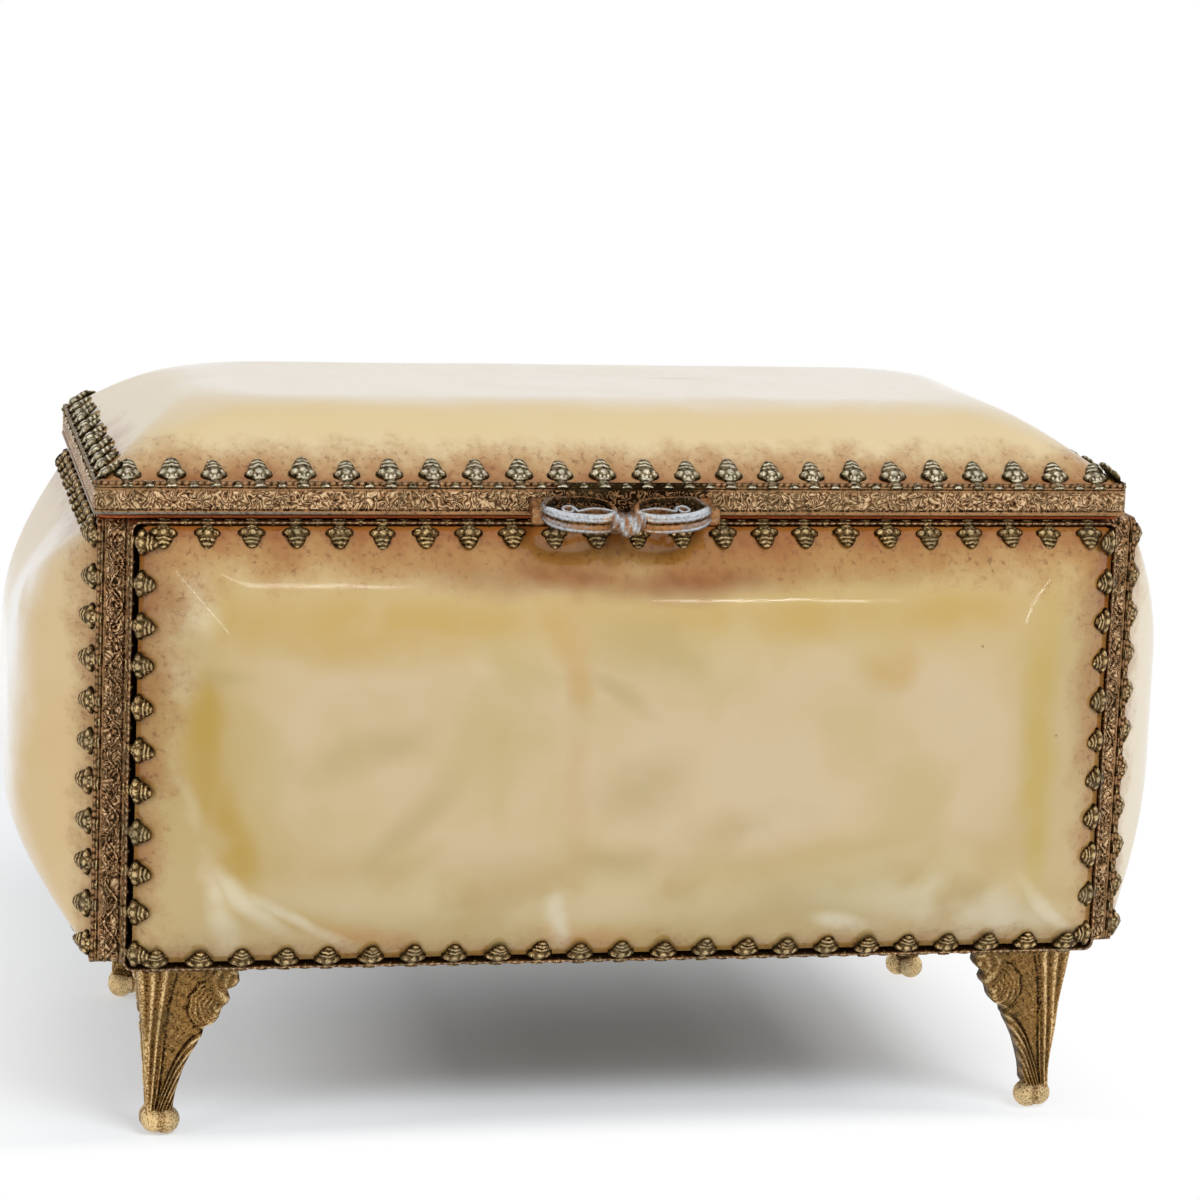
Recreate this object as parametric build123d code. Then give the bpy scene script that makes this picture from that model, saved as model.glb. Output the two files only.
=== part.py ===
from build123d import *
import math
import os

# Acrylic jewelry box: a hinged lid on a four-sided body, carried by four cast feet.
# Millimetres, +Z up. The front looks along -Y. The origin is on the floor under the middle of the box.
# Each puffed acrylic panel sits in its own ring of stamped gallery strip. The strip's prongs are folded
# over the panel's edge. The four body rings are soldered together, and the fifth ring carries the lid.

# Overall sizes
lid_width = 154.8
lid_depth = 77.4
body_height = 66.6
foot_height = 26.4
side_overhang = 1.05
# The lid and its pull sit a little to the left of the body's middle
lid_shift = -2.0
pull_shift = -2.8

# Gallery strip
strip_thickness = 0.6
lid_band = 4.95
side_band = 4.95
front_band = 3.9
bend_radius = 1.6
seat_lip = 1.8
lip_thickness = 0.6
prong_pitch = 6.3
prong_length = 5.3
prong_width = 4.3
prong_thickness = 0.5
stem_width = 2.1
stem_length = 1.5
corner_gap_across = 4.8
corner_gap_upright = 3.0
prong_clearance = 0.08
prong_root_share = 0.95
back_edge_round = 0.27
# A prong's head from its neck to near its tip: shares of half its width, and of the head's length
PRONG_HEAD = [(1.0, 0.16), (1.0, 0.44), (0.5, 0.62), (0.4, 0.86)]

# Puffed panels
panel_wall = 2.4
panel_gap = 0.3
edge_drop = 0.3
lid_rise = 10.2
lid_roll = 19.5
front_rise = 9.6
front_roll = 21.0
side_rise = 12.0
side_roll = 21.0
corner_softening = 0.6
corner_limit = 0.46
dome_steps = 6
shrunk_across = 0.6
shrunk_upright = 0.5

# Lid, lining and hinges
lid_gap = 0.75
lining_thickness = 0.6
lining_inset = 0.8
lining_clearance = 0.25
hinge_offset = 38.0
hinge_length = 12.0
knuckle_radius = 1.1
knuckle_gap = 0.1
pin_radius = 0.5
pin_clearance = 0.05
pin_head_radius = 0.8
pin_head_thickness = 0.3
leaf_thickness = 0.4
barrel_overlap = 0.3
body_leaf_width = 2.2
lid_leaf_height = 3.1

# Lid pull, a cast ribbon bow
pull_loop_offset = 6.6
pull_loop_length = 10.4
pull_loop_depth = 7.0
pull_strap = 1.5
pull_height = 2.2
pull_sink = 0.6
knot_width = 3.6
knot_height = 3.6
knot_depth = 6.2
knot_round = 0.85
knot_forward = 0.4
knot_sink = 0.5
lug_width = 2.2
lug_lap = 0.3
lug_rise = 0.3
lug_height = 2.8
lug_thickness = 0.8
arm_width = 1.6
rivet_radius = 0.5
rivet_head_radius = 0.75
rivet_head_height = 0.5
rivet_upset_radius = 0.8
rivet_upset_height = 0.25
rivet_clearance = 0.05

# Base and feet
plate_thickness = 0.8
plate_clearance = 0.05
pad_thickness = 4.2
pad_clearance = 1.0
pad_crown = 1.3
pad_edge_round = 0.8
pad_shoulder = 7.0
pad_flat_inset = 18.0
pad_draw = 0.8
pad_corner_radius = 3.0
pocket_clearance = 0.3
foot_reach = 15.3
foot_inset = 2.4
foot_wall = 4.2
foot_lean = 1.8
ankle_width = 4.3
ankle_level = 4.8
toe_radius = 3.05
toe_height = 5.1
toe_flat_radius = 1.7
screw_radius = 0.75
screw_clearance = 0.05
screw_head_radius = 1.6
screw_head_height = 1.1
screw_length = 6.0
screw_inset = 3.7
screw_hole_spare = 0.5
# A foot's outer edge at its middle, and its three lobes with the arcs' middle points between them,
# from the ankle up: shares of foot_reach or foot_lean, and of foot_height
FOOT_OUTER_MIDDLE = (0.45, 0.57)
FOOT_LOBES = [(0.66, 0.625), (0.81, 0.71), (0.87, 0.84), (1.0, 0.93)]
FOOT_ARC_MIDDLES = [(0.49, 0.42), (0.79, 0.66), (0.895, 0.785), (0.985, 0.87)]
toe_widest_share = 0.45
toe_top_share = 0.2

# How far a cut runs past what it cuts
spare = 1.0

# Planes and levels worked out from the sizes above
body_bottom = foot_height
body_top = foot_height + body_height
body_middle = foot_height + body_height / 2
lid_bottom = body_top + lid_gap
lid_edge = lid_bottom + lid_band
front_face = lid_depth / 2
front_back = front_face - front_band
side_face = lid_width / 2 + side_overhang
side_back = side_face - side_band
front_width = 2 * (side_back + strip_thickness)
side_width = 2 * front_back
hinge_y = front_face + leaf_thickness + knuckle_radius - barrel_overlap
hinge_z = body_top + leaf_thickness / 2
pull_low = lid_bottom - pull_sink
rivet_x = pull_loop_offset + pull_loop_length / 2 + lug_width / 2 - lug_lap
rivet_level = lid_bottom + lug_rise + lug_height / 2
knuckle_length = hinge_length / 3

# Each corner's turn from the front left one, and its side of the box in X and in Y
CORNERS = {
    "front_left": (0, -1, -1),
    "front_right": (90, 1, -1),
    "back_right": (180, 1, 1),
    "back_left": (270, -1, 1),
}


def edge_slope(rise, roll):
    """Slope of a panel's surface where it leaves its edge."""
    return rise * math.pi / 2 / roll


def stations(length, corner_gap):
    """Evenly spaced prong places along one side of a ring, measured from the side's middle."""
    span = length - 2 * corner_gap
    steps = max(1, round(span / prong_pitch))
    return [-span / 2 + span * step / steps for step in range(steps + 1)]


def prong():
    """One flat prong: a stem and a lobed head, its root at the origin and its tip along +Y."""
    half = prong_width / 2
    stem = stem_width / 2
    head = prong_length - stem_length
    right = [(stem, prong_root_share * prong_thickness), (stem, stem_length)]
    right += [(across * half, stem_length + along * head) for across, along in PRONG_HEAD]
    left = [(-x, y) for x, y in reversed(right)]
    outline = Polyline(*right, (0, prong_length), *left, close=True)
    return extrude(make_face(outline), prong_thickness)


def ring(width, height, band, rise, roll, rounded_back=False, bare=()):
    """A ring of gallery strip in its own frame: +Z is the panel's outward side, and the prongs' roots
    are at Z = 0. Prongs whose place along the top side lies inside a bare span are left off."""
    outer = RectangleRounded(width, height, bend_radius)
    inner_radius = bend_radius - strip_thickness
    inner = RectangleRounded(width - 2 * strip_thickness, height - 2 * strip_thickness, inner_radius)
    reach = 2 * (strip_thickness + seat_lip)
    window = RectangleRounded(width - reach, height - reach, inner_radius)
    body = Pos(0, 0, -band) * extrude(outer - inner, band)
    body += Pos(0, 0, -band) * extrude(outer - window, lip_thickness)
    if rounded_back:
        back_edges = body.edges().filter_by_position(Axis.Z, -band, -band)
        body = fillet(back_edges, back_edge_round)
    slope = edge_slope(rise, roll)
    tilt = math.atan(slope)
    root_z = -edge_drop - (strip_thickness + panel_gap) * slope + prong_clearance
    shape = prong()
    prongs = []
    for quarter in range(4):
        across = quarter % 2 == 0
        length = width if across else height
        reach_in = (height if across else width) / 2
        corner_gap = corner_gap_across if across else corner_gap_upright
        for place in stations(length, corner_gap):
            if quarter == 2 and any(low < -place < high for low, high in bare):
                continue
            root = Plane(
                origin=(place, -reach_in, root_z),
                x_dir=(1, 0, 0),
                z_dir=(0, -math.sin(tilt), math.cos(tilt)),
            )
            prongs.append(Rot(0, 0, 90 * quarter) * (root.location * shape))
    return body + prongs


def puffed(outline, rise, roll, wall=0.0):
    """The domed part of a panel, lofted through rounded rectangles. A wall moves the curved profile
    inwards by that much, which gives the panel's inner face."""
    width, height, radius = outline
    sections = []
    for step in range(dome_steps + 1):
        part = step / dome_steps
        climb = rise * math.pi / 2 * math.cos(math.pi / 2 * part)
        norm = math.hypot(climb, roll)
        inset = roll * part + wall * climb / norm
        level = rise * math.sin(math.pi / 2 * part) - wall * roll / norm
        size_x = width - 2 * inset
        size_y = height - 2 * inset
        corner = min(radius + corner_softening * inset, corner_limit * min(size_x, size_y))
        sections.append(Pos(0, 0, level) * RectangleRounded(size_x, size_y, corner))
    return loft(sections), sections[0]


def panel(width, height, band, rise, roll, shrink=(0, 0)):
    """A panel in its ring's frame: a puffed shell on an upright rim, which stands on the ring's lip."""
    edge = 2 * (strip_thickness + panel_gap)
    outline = (width - edge - shrink[0], height - edge - shrink[1], bend_radius - strip_thickness / 2)
    dome, foot = puffed(outline, rise, roll)
    hollow, hollow_foot = puffed(outline, rise, roll, panel_wall)
    depth = band - lip_thickness - edge_drop
    hollow_drop = -hollow_foot.center().Z
    solid = dome + Pos(0, 0, -depth) * extrude(foot, depth)
    cavity = hollow + Pos(0, 0, hollow_drop - depth) * extrude(hollow_foot, depth - hollow_drop)
    return Pos(shrink[0] / 2, shrink[1] / 2, -edge_drop) * (solid - cavity)


def facing(origin, side):
    """The frame of a body ring that faces the named side of the box."""
    across = {"front": (1, 0, 0), "back": (-1, 0, 0), "left": (0, -1, 0), "right": (0, 1, 0)}[side]
    outwards = {"front": (0, -1, 0), "back": (0, 1, 0), "left": (-1, 0, 0), "right": (1, 0, 0)}[side]
    return Plane(origin=origin, x_dir=across, z_dir=outwards).location


def hinge_bare_spans():
    """Spans of the back ring's top side where the hinges leave no room for prongs."""
    half = hinge_length / 2 + prong_width / 2
    return [(place - half, place + half) for place in (-hinge_offset, hinge_offset)]


def knuckle(start, length):
    """One rolled knuckle about the hinge pin."""
    wall = Circle(knuckle_radius) - Circle(pin_radius + pin_clearance)
    plane = Plane(origin=(start, hinge_y, hinge_z), x_dir=(0, 1, 0), z_dir=(1, 0, 0))
    return plane.location * extrude(wall, length)


def bore_cut(start, length):
    """The space of the pin's bore along one stretch of a hinge."""
    plane = Plane(origin=(start, hinge_y, hinge_z), x_dir=(0, 1, 0), z_dir=(1, 0, 0))
    return plane.location * extrude(Circle(pin_radius + pin_clearance), length)


def body_leaf(centre):
    """The body's leaf: a flat soldered on the back ring's top strip, with the two outer knuckles."""
    start = centre - hinge_length / 2
    low_y = front_face - body_leaf_width
    flat = Pos(centre, (low_y + hinge_y) / 2, hinge_z) * Box(hinge_length, hinge_y - low_y, leaf_thickness)
    notch_low = front_face - 2 * knuckle_gap
    notch_width = knuckle_length + 2 * knuckle_gap
    notch_depth = hinge_y + 2 * spare - notch_low
    notch = Pos(centre, notch_low + notch_depth / 2, hinge_z) * Box(notch_width, notch_depth, 4 * spare)
    leaf = flat - notch
    leaf += knuckle(start, knuckle_length)
    leaf += knuckle(start + 2 * knuckle_length, knuckle_length)
    return leaf - bore_cut(start - spare, hinge_length + 2 * spare)


def lid_leaf(centre):
    """The lid's leaf: an upright on the back of the lid's ring, with the middle knuckle."""
    plate_low = hinge_z + knuckle_radius + 2 * knuckle_gap
    middle_y = front_face + leaf_thickness / 2
    plate = Pos(centre, middle_y, plate_low + lid_leaf_height / 2) * Box(
        hinge_length, leaf_thickness, lid_leaf_height
    )
    tongue_width = knuckle_length - 2 * knuckle_gap
    tongue_height = plate_low - hinge_z + 2 * knuckle_gap
    tongue = Pos(centre, middle_y, hinge_z + tongue_height / 2) * Box(
        tongue_width, leaf_thickness, tongue_height
    )
    leaf = plate + tongue + knuckle(centre - tongue_width / 2, tongue_width)
    return leaf - bore_cut(centre - hinge_length, 2 * hinge_length)


def hinge_pin(centre):
    """A hinge pin with a small peened head at each end."""
    half = hinge_length / 2
    plane = Plane(origin=(centre - half, hinge_y, hinge_z), x_dir=(0, 1, 0), z_dir=(1, 0, 0))
    pin = extrude(Circle(pin_radius), hinge_length)
    pin += Pos(0, 0, -pin_head_thickness) * extrude(Circle(pin_head_radius), pin_head_thickness)
    pin += Pos(0, 0, hinge_length) * extrude(Circle(pin_head_radius), pin_head_thickness)
    return plane.location * pin


def lid_pull():
    """The lid's pull: a ribbon bow with two open loops, a knot and two lugs on the lid's front strip."""
    middle_y = -front_face - pull_loop_depth / 2
    half_length = pull_loop_length / 2
    half_depth = pull_loop_depth / 2
    bow = Part()
    for side in (-1, 1):
        outer = Ellipse(half_length, half_depth)
        hole = Ellipse(half_length - pull_strap, half_depth - pull_strap)
        loop_x = pull_shift + side * pull_loop_offset
        bow += Pos(loop_x, middle_y, pull_low) * extrude(outer - hole, pull_height)
        lug_x = pull_shift + side * rivet_x
        lug_y = -front_face - lug_thickness / 2
        bow += Pos(lug_x, lug_y, rivet_level) * Box(lug_width, lug_thickness, lug_height)
        arm_x = loop_x + side * (half_length - arm_width / 2)
        arm_z = pull_low + pull_height - arm_width / 2
        bow += Pos(arm_x, -front_face - half_depth / 2, arm_z) * Box(arm_width, half_depth, arm_width)
        bow -= rivet_axis(side) * extrude(Circle(rivet_radius + rivet_clearance), 2 * lug_thickness)
    knot = Box(knot_width, knot_depth, knot_height)
    knot = fillet(knot.edges(), knot_round)
    return bow + Pos(pull_shift, middle_y - knot_forward, pull_low + pull_height / 2 - knot_sink) * knot


def rivet_axis(side):
    """The frame of one of the pull's rivets, its origin on the lid ring's front face, +Z forwards."""
    origin = (pull_shift + side * rivet_x, -front_face, rivet_level)
    return Plane(origin=origin, x_dir=(1, 0, 0), z_dir=(0, -1, 0)).location


def pull_rivet(side):
    """A rivet through a lug and the strip behind it, upset on the inside."""
    back = strip_thickness + rivet_upset_height
    shank = Pos(0, 0, -back) * extrude(Circle(rivet_radius), back + lug_thickness + rivet_head_height / 2)
    head = Pos(0, 0, lug_thickness) * extrude(Circle(rivet_head_radius), rivet_head_height)
    head = fillet(head.edges().sort_by(Axis.Z)[-1], 0.8 * rivet_head_height)
    upset = Pos(0, 0, -back) * extrude(Circle(rivet_upset_radius), rivet_upset_height)
    return rivet_axis(side) * (shank + head + upset)


def foot_outline(shift=0.0, solid_to=None):
    """The foot's side view, with X running inwards from the box's corner and Y up. With solid_to, only
    the outer edge is kept, moved in by shift, and the face runs on to solid_to."""
    ankle_x = foot_lean + shift
    share_x, share_y = FOOT_OUTER_MIDDLE
    middle = (share_x * foot_lean + shift, share_y * foot_height)
    outer = ThreePointArc((shift, foot_height), middle, (ankle_x, ankle_level))
    if solid_to is not None:
        corners = [(ankle_x, ankle_level), (ankle_x, -spare), (solid_to, -spare), (solid_to, foot_height)]
        return make_face(outer + Polyline(*corners, (shift, foot_height)))
    sole = toe_height / 2
    start = (foot_lean + ankle_width, ankle_level)
    lines = outer
    lines += Polyline((foot_lean, ankle_level), (foot_lean, sole), (foot_lean + ankle_width, sole), start)
    for lobe, arc_middle in zip(FOOT_LOBES, FOOT_ARC_MIDDLES):
        middle = (arc_middle[0] * foot_reach, arc_middle[1] * foot_height)
        end = (lobe[0] * foot_reach, lobe[1] * foot_height)
        lines += ThreePointArc(start, middle, end)
        start = end
    lines += Polyline(start, (foot_reach, foot_height), (0, foot_height))
    return make_face(lines)


def crossed(face, length):
    """What two copies of a side view share, one run along Y and one along X."""
    along_y = Plane.XZ.location * extrude(face, -length)
    along_x = mirror(along_y, Plane(origin=(0, 0, 0), z_dir=(1, -1, 0)))
    return along_y & along_x


def foot():
    """A cast corner foot with its outer corner over the origin and its two wings along +X and +Y."""
    block = crossed(foot_outline(), foot_reach)
    inside = crossed(foot_outline(foot_wall, 2 * foot_reach), 2 * foot_reach)
    centre = foot_lean + ankle_width / 2
    top_radius = toe_top_share * toe_radius
    widest = (toe_radius, toe_widest_share * toe_height)
    side = ThreePointArc((toe_flat_radius, 0), widest, (top_radius, toe_height))
    axis = Polyline((top_radius, toe_height), (0, toe_height), (0, 0), (toe_flat_radius, 0))
    toe = revolve(Plane.XZ.location * make_face(side + axis), Axis.Z)
    hole_depth = screw_length - plate_thickness + screw_hole_spare
    hole = Pos(screw_inset, screw_inset, foot_height - hole_depth) * extrude(
        Circle(screw_radius + screw_clearance), hole_depth
    )
    return block - inside + Pos(centre, centre, 0) * toe - hole


def foot_screw():
    """A foot's screw, from its head on the base plate down into the foot."""
    shank_low = foot_height + plate_thickness - screw_length
    shank = Pos(screw_inset, screw_inset, shank_low) * extrude(Circle(screw_radius), screw_length)
    head = Pos(screw_inset, screw_inset, foot_height + plate_thickness) * extrude(
        Circle(screw_head_radius), screw_head_height
    )
    return shank + fillet(head.edges().sort_by(Axis.Z)[-1], 0.4 * screw_head_height)


def at_corner(shape, name):
    """A foot or its screw, turned and moved from the origin to one corner of the box."""
    turn, side_x, side_y = CORNERS[name]
    corner_x = side_x * (front_width / 2 - foot_inset)
    corner_y = side_y * (front_face - foot_inset)
    return Pos(corner_x, corner_y, 0) * Rot(0, 0, turn) * shape


def base_plate():
    """The sheet that closes the bottom, with the feet's screw holes."""
    size_x = 2 * (side_back - plate_clearance)
    size_y = 2 * (front_back - plate_clearance)
    sheet = Pos(0, 0, body_bottom + plate_thickness / 2) * Box(size_x, size_y, plate_thickness)
    hole = Pos(screw_inset, screw_inset, body_bottom - spare) * extrude(
        Circle(screw_radius + screw_clearance), plate_thickness + 2 * spare
    )
    for corner in CORNERS:
        sheet -= at_corner(hole, corner)
    return sheet


def drawn_outline(size_x, size_y, draw, radius):
    """A pad's outline, whose sides pull in between the rounded corners."""
    half_x, half_y = size_x / 2, size_y / 2
    bottom = ThreePointArc((-half_x, -half_y), (0, -half_y + draw), (half_x, -half_y))
    right = ThreePointArc((half_x, -half_y), (half_x - draw, 0), (half_x, half_y))
    top = ThreePointArc((half_x, half_y), (0, half_y - draw), (-half_x, half_y))
    left = ThreePointArc((-half_x, half_y), (-half_x + draw, 0), (-half_x, -half_y))
    face = make_face(bottom + right + top + left)
    return fillet(face.vertices(), radius)


def base_pad():
    """The velvet pad on the base plate: flat below, swelling a little and crowned on top."""
    size_x = 2 * (side_back - pad_clearance)
    size_y = 2 * (front_back - pad_clearance)
    side_height = pad_thickness - pad_crown
    levels = [
        (0, pad_edge_round),
        (0.5 * side_height, 0),
        (side_height, 1.5 * pad_edge_round),
        (side_height + 0.75 * pad_crown, pad_shoulder),
        (pad_thickness, pad_flat_inset),
    ]
    sections = []
    for level, inset in levels:
        outline = drawn_outline(size_x - 2 * inset, size_y - 2 * inset, pad_draw, pad_corner_radius)
        sections.append(Pos(0, 0, body_bottom + plate_thickness + level) * outline)
    pad = loft(sections)
    pocket_low = body_bottom + plate_thickness - spare
    pocket_height = spare + screw_head_height + pocket_clearance
    pocket = Pos(screw_inset, screw_inset, pocket_low) * extrude(
        Circle(screw_head_radius + pocket_clearance), pocket_height
    )
    for corner in CORNERS:
        pad -= at_corner(pocket, corner)
    return pad


def lid_lining():
    """The velvet-covered card glued under the lid's ring. It stops short of the hinge leaves."""
    front_y = -front_face + lining_inset
    back_y = front_face - body_leaf_width - lining_clearance
    size_x = lid_width - 2 * lining_inset
    card = Pos(lid_shift, (front_y + back_y) / 2, lid_bottom - lining_thickness) * extrude(
        RectangleRounded(size_x, back_y - front_y, bend_radius), lining_thickness
    )
    return card


ring_places = {
    "front": (0, -front_face, body_middle),
    "back": (0, front_face, body_middle),
    "left": (-side_face, 0, body_middle),
    "right": (side_face, 0, body_middle),
}
nodes = {}

# Body rings and panels
for side, origin in ring_places.items():
    frame = facing(origin, side)
    if side in ("front", "back"):
        sizes = (front_width, body_height, front_band, front_rise, front_roll)
    else:
        sizes = (side_width, body_height, side_band, side_rise, side_roll)
    bare = hinge_bare_spans() if side == "back" else ()
    shrink = (shrunk_across, shrunk_upright) if side == "front" else (0, 0)
    nodes[f"{side}_frame"] = frame * ring(*sizes, bare=bare)
    nodes[f"{side}_panel"] = frame * panel(*sizes, shrink=shrink)

# Lid
lid_frame_place = Pos(lid_shift, 0, lid_edge)
lid_sizes = (lid_width, lid_depth, lid_band, lid_rise, lid_roll)
lid_ring = lid_frame_place * ring(*lid_sizes, rounded_back=True)
for side in (-1, 1):
    rivet_hole = extrude(Circle(rivet_radius + rivet_clearance), 2 * strip_thickness, both=True)
    lid_ring -= rivet_axis(side) * rivet_hole
nodes["lid_frame"] = lid_ring
nodes["lid_panel"] = lid_frame_place * panel(*lid_sizes)
nodes["lid_lining"] = lid_lining()
nodes["lid_pull"] = lid_pull()
nodes["pull_rivets"] = Compound(children=[pull_rivet(-1), pull_rivet(1)])

# Hinges
for name, centre in (("left", -hinge_offset), ("right", hinge_offset)):
    nodes[f"{name}_hinge_body_leaf"] = body_leaf(centre)
    nodes[f"{name}_hinge_lid_leaf"] = lid_leaf(centre)
    nodes[f"{name}_hinge_pin"] = hinge_pin(centre)

# Base and feet
nodes["base_plate"] = base_plate()
nodes["base_pad"] = base_pad()
corner_foot = foot()
for corner in CORNERS:
    nodes[f"{corner}_foot"] = at_corner(corner_foot, corner)
nodes["foot_screws"] = Compound(children=[at_corner(foot_screw(), corner) for corner in CORNERS])

os.makedirs("parts", exist_ok=True)
for name, shape in nodes.items():
    export_step(shape, f"parts/{name}.step")
    print(name, len(shape.solids()), "solid", round(shape.volume, 2), "mm3")
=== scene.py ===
# %% [markdown]
# # A footed jewelry box of puffed pearl acrylic
# The box has five domed acrylic panels. Each one sits in its own ring of stamped gilt strip, and the
# strip's prongs are folded over the panel's edge. Four cast feet carry the body, a cast bow lifts the
# lid, and two small hinges hold the lid behind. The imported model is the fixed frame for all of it.

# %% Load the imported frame
import bmesh
import bpy
import math
import numpy as np
from mathutils import Matrix, Vector, noise


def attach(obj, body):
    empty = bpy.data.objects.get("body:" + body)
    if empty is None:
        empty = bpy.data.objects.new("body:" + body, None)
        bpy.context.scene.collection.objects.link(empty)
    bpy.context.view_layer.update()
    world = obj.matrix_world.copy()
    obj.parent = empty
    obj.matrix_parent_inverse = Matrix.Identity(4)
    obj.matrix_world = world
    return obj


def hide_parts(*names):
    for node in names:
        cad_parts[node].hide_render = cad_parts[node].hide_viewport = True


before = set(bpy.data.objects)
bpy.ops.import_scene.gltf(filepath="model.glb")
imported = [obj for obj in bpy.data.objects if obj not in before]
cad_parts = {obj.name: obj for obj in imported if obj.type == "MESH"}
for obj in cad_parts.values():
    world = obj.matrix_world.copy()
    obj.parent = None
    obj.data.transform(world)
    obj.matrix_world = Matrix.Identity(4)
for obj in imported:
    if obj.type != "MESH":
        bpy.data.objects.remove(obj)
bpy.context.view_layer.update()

# %% [markdown]
# ## Real sizes
# The strip repeats its prongs every 6.3 mm, and everything else was measured against that. Sizes are
# in millimetres here, because the parts are small, and one factor turns them to Blender's metres.

# %% Sizes of the box
MM = 0.001
lid_width, lid_depth, body_height, foot_height = 154.8, 77.4, 66.6, 26.4
lid_shift, pull_shift = -2.0, -2.8
side_face, side_back = 78.45, 73.5
front_face, front_back = 38.7, 34.8
front_width, side_width = 148.2, 69.6
body_top = foot_height + body_height
body_middle = foot_height + body_height / 2
hinge_gap, wide_band, slim_band = 0.75, 4.95, 3.9
lid_bottom = body_top + hinge_gap
lid_edge = lid_bottom + wide_band
strip_thickness, panel_gap, edge_drop, lip_thickness, seat_lip = 0.6, 0.3, 0.3, 0.6, 1.8
bend_radius, prong_pitch, panel_wall = 1.6, 6.3, 2.4

# Each ring: its width, height, band, and the rise and roll of the panel that it holds
RINGS = {
    "lid": (lid_width, lid_depth, wide_band, 10.2, 19.5),
    "front": (front_width, body_height, slim_band, 9.6, 21.0),
    "back": (front_width, body_height, slim_band, 9.6, 21.0),
    "left": (side_width, body_height, wide_band, 12.0, 21.0),
    "right": (side_width, body_height, wide_band, 12.0, 21.0),
}
# Each ring's middle, the way across it and the way outwards
RING_PLACES = {
    "lid": ((lid_shift, 0, lid_edge), (1, 0, 0), (0, 0, 1)),
    "front": ((0, -front_face, body_middle), (1, 0, 0), (0, -1, 0)),
    "back": ((0, front_face, body_middle), (-1, 0, 0), (0, 1, 0)),
    "left": ((-side_face, 0, body_middle), (0, -1, 0), (-1, 0, 0)),
    "right": ((side_face, 0, body_middle), (0, 1, 0), (1, 0, 0)),
}


def ring_frame(side):
    """The frame of one ring: its +Z is the panel's outward side, and the prongs' roots are at Z = 0."""
    place, x, z = (Vector(v) for v in RING_PLACES[side])
    turn = Matrix((x, z.cross(x), z)).transposed().to_4x4()
    return Matrix.Translation(place) @ turn


def body_of(side):
    """The body that a ring and its panel ride on."""
    return "lid" if side == "lid" else "body"


print("lid edge", lid_edge, "body middle", body_middle)

# %% [markdown]
# ## Camera
# The picture is taken a little from the left and above, with a long lens, so that the front stays
# almost square and the lid's top shows as a thin slope. A small shift frames the box.

# %% Camera
camera_data = bpy.data.cameras.new("camera")
camera_data.sensor_width = 36
camera_data.lens = 100.4
camera_data.shift_x, camera_data.shift_y = 0.11, -0.16
camera_data.clip_start, camera_data.clip_end = 0.02, 20
camera = bpy.data.objects.new("camera", camera_data)
bpy.context.scene.collection.objects.link(camera)
camera.location = (-0.1124, -0.5080, 0.1768)
camera.rotation_euler = [math.radians(a) for a in (81.97, -1.89, -10.18)]
bpy.context.scene.camera = camera
bpy.context.scene.view_settings.view_transform = "Standard"
print("lens", camera_data.lens)

# %% [markdown]
# ## Tools for materials
# Colours are written as the hex codes that a painter would pick on a screen. A shader wants linear
# light, so one function turns them. A small function adds a node with its settings and links, and two
# more join masks and lay one colour over others, as all the finishes do.


# %% Colour and node tools
SMOOTH = {"interpolation_type": "SMOOTHSTEP"}


def linear(code):
    """An sRGB hex code as linear red, green, blue and alpha."""
    parts = [int(code[i : i + 2], 16) / 255 for i in (1, 3, 5)]
    return tuple(c / 12.92 if c <= 0.04045 else ((c + 0.055) / 1.055) ** 2.4 for c in parts) + (1.0,)


def fill(tree, node, inputs):
    """Fills a node's inputs, in order from a list or by name or number from a dict, with values, sockets or
    nodes. A node gives its first live output."""
    for name, value in inputs.items() if isinstance(inputs, dict) else enumerate(inputs):
        if isinstance(value, bpy.types.Node):
            value = next(s for s in value.outputs if s.enabled)
        if isinstance(value, bpy.types.NodeSocket):
            tree.links.new(value, node.inputs[name])
        else:
            node.inputs[name].default_value = value


def add(tree, kind, inputs=(), **settings):
    """Adds a node, sets its properties and fills its inputs. A kind with no Node in it is a shader's, and a
    second word in it is the node's operation."""
    kind, _, operation = kind.partition(" ")
    made = tree.nodes.new(kind if "Node" in kind else "ShaderNode" + kind)
    if operation:
        made.operation = operation
    for name, value in settings.items():
        setattr(made, name, value)
    fill(tree, made, inputs)
    return made


def set_ramp(ramp_node, stops):
    """Gives a Color Ramp its stops: places from 0 to 1 with hex colours."""
    ramp = ramp_node.color_ramp
    while len(ramp.elements) > 1:
        ramp.elements.remove(ramp.elements[-1])
    ramp.elements[0].position, ramp.elements[0].color = stops[0][0], linear(stops[0][1])
    for place, code in stops[1:]:
        ramp.elements.new(place).color = linear(code)
    return ramp_node


def union(tree, masks):
    """The largest of some masks at each place."""
    whole = masks[0]
    for mask in masks[1:]:
        whole = add(tree, "Math MAXIMUM", [whole, mask])
    return whole


def tint(tree, tones, mask, code, strength=1.0):
    """Lays a colour over the tones where the mask is."""
    if strength != 1.0:
        mask = add(tree, "Math MULTIPLY", [mask, strength])
    return add(tree, "Mix", {0: mask, 6: tones, 7: linear(code)}, data_type="RGBA")


def new_material(name):
    """An empty material with its shader and its output joined."""
    material = bpy.data.materials.new(name)
    material.use_nodes = True
    tree = material.node_tree
    tree.nodes.clear()
    shader = add(tree, "BsdfPrincipled")
    add(tree, "OutputMaterial", {"Surface": shader})
    return material, tree, shader


print("white is", linear("#FFFFFF"))

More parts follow.
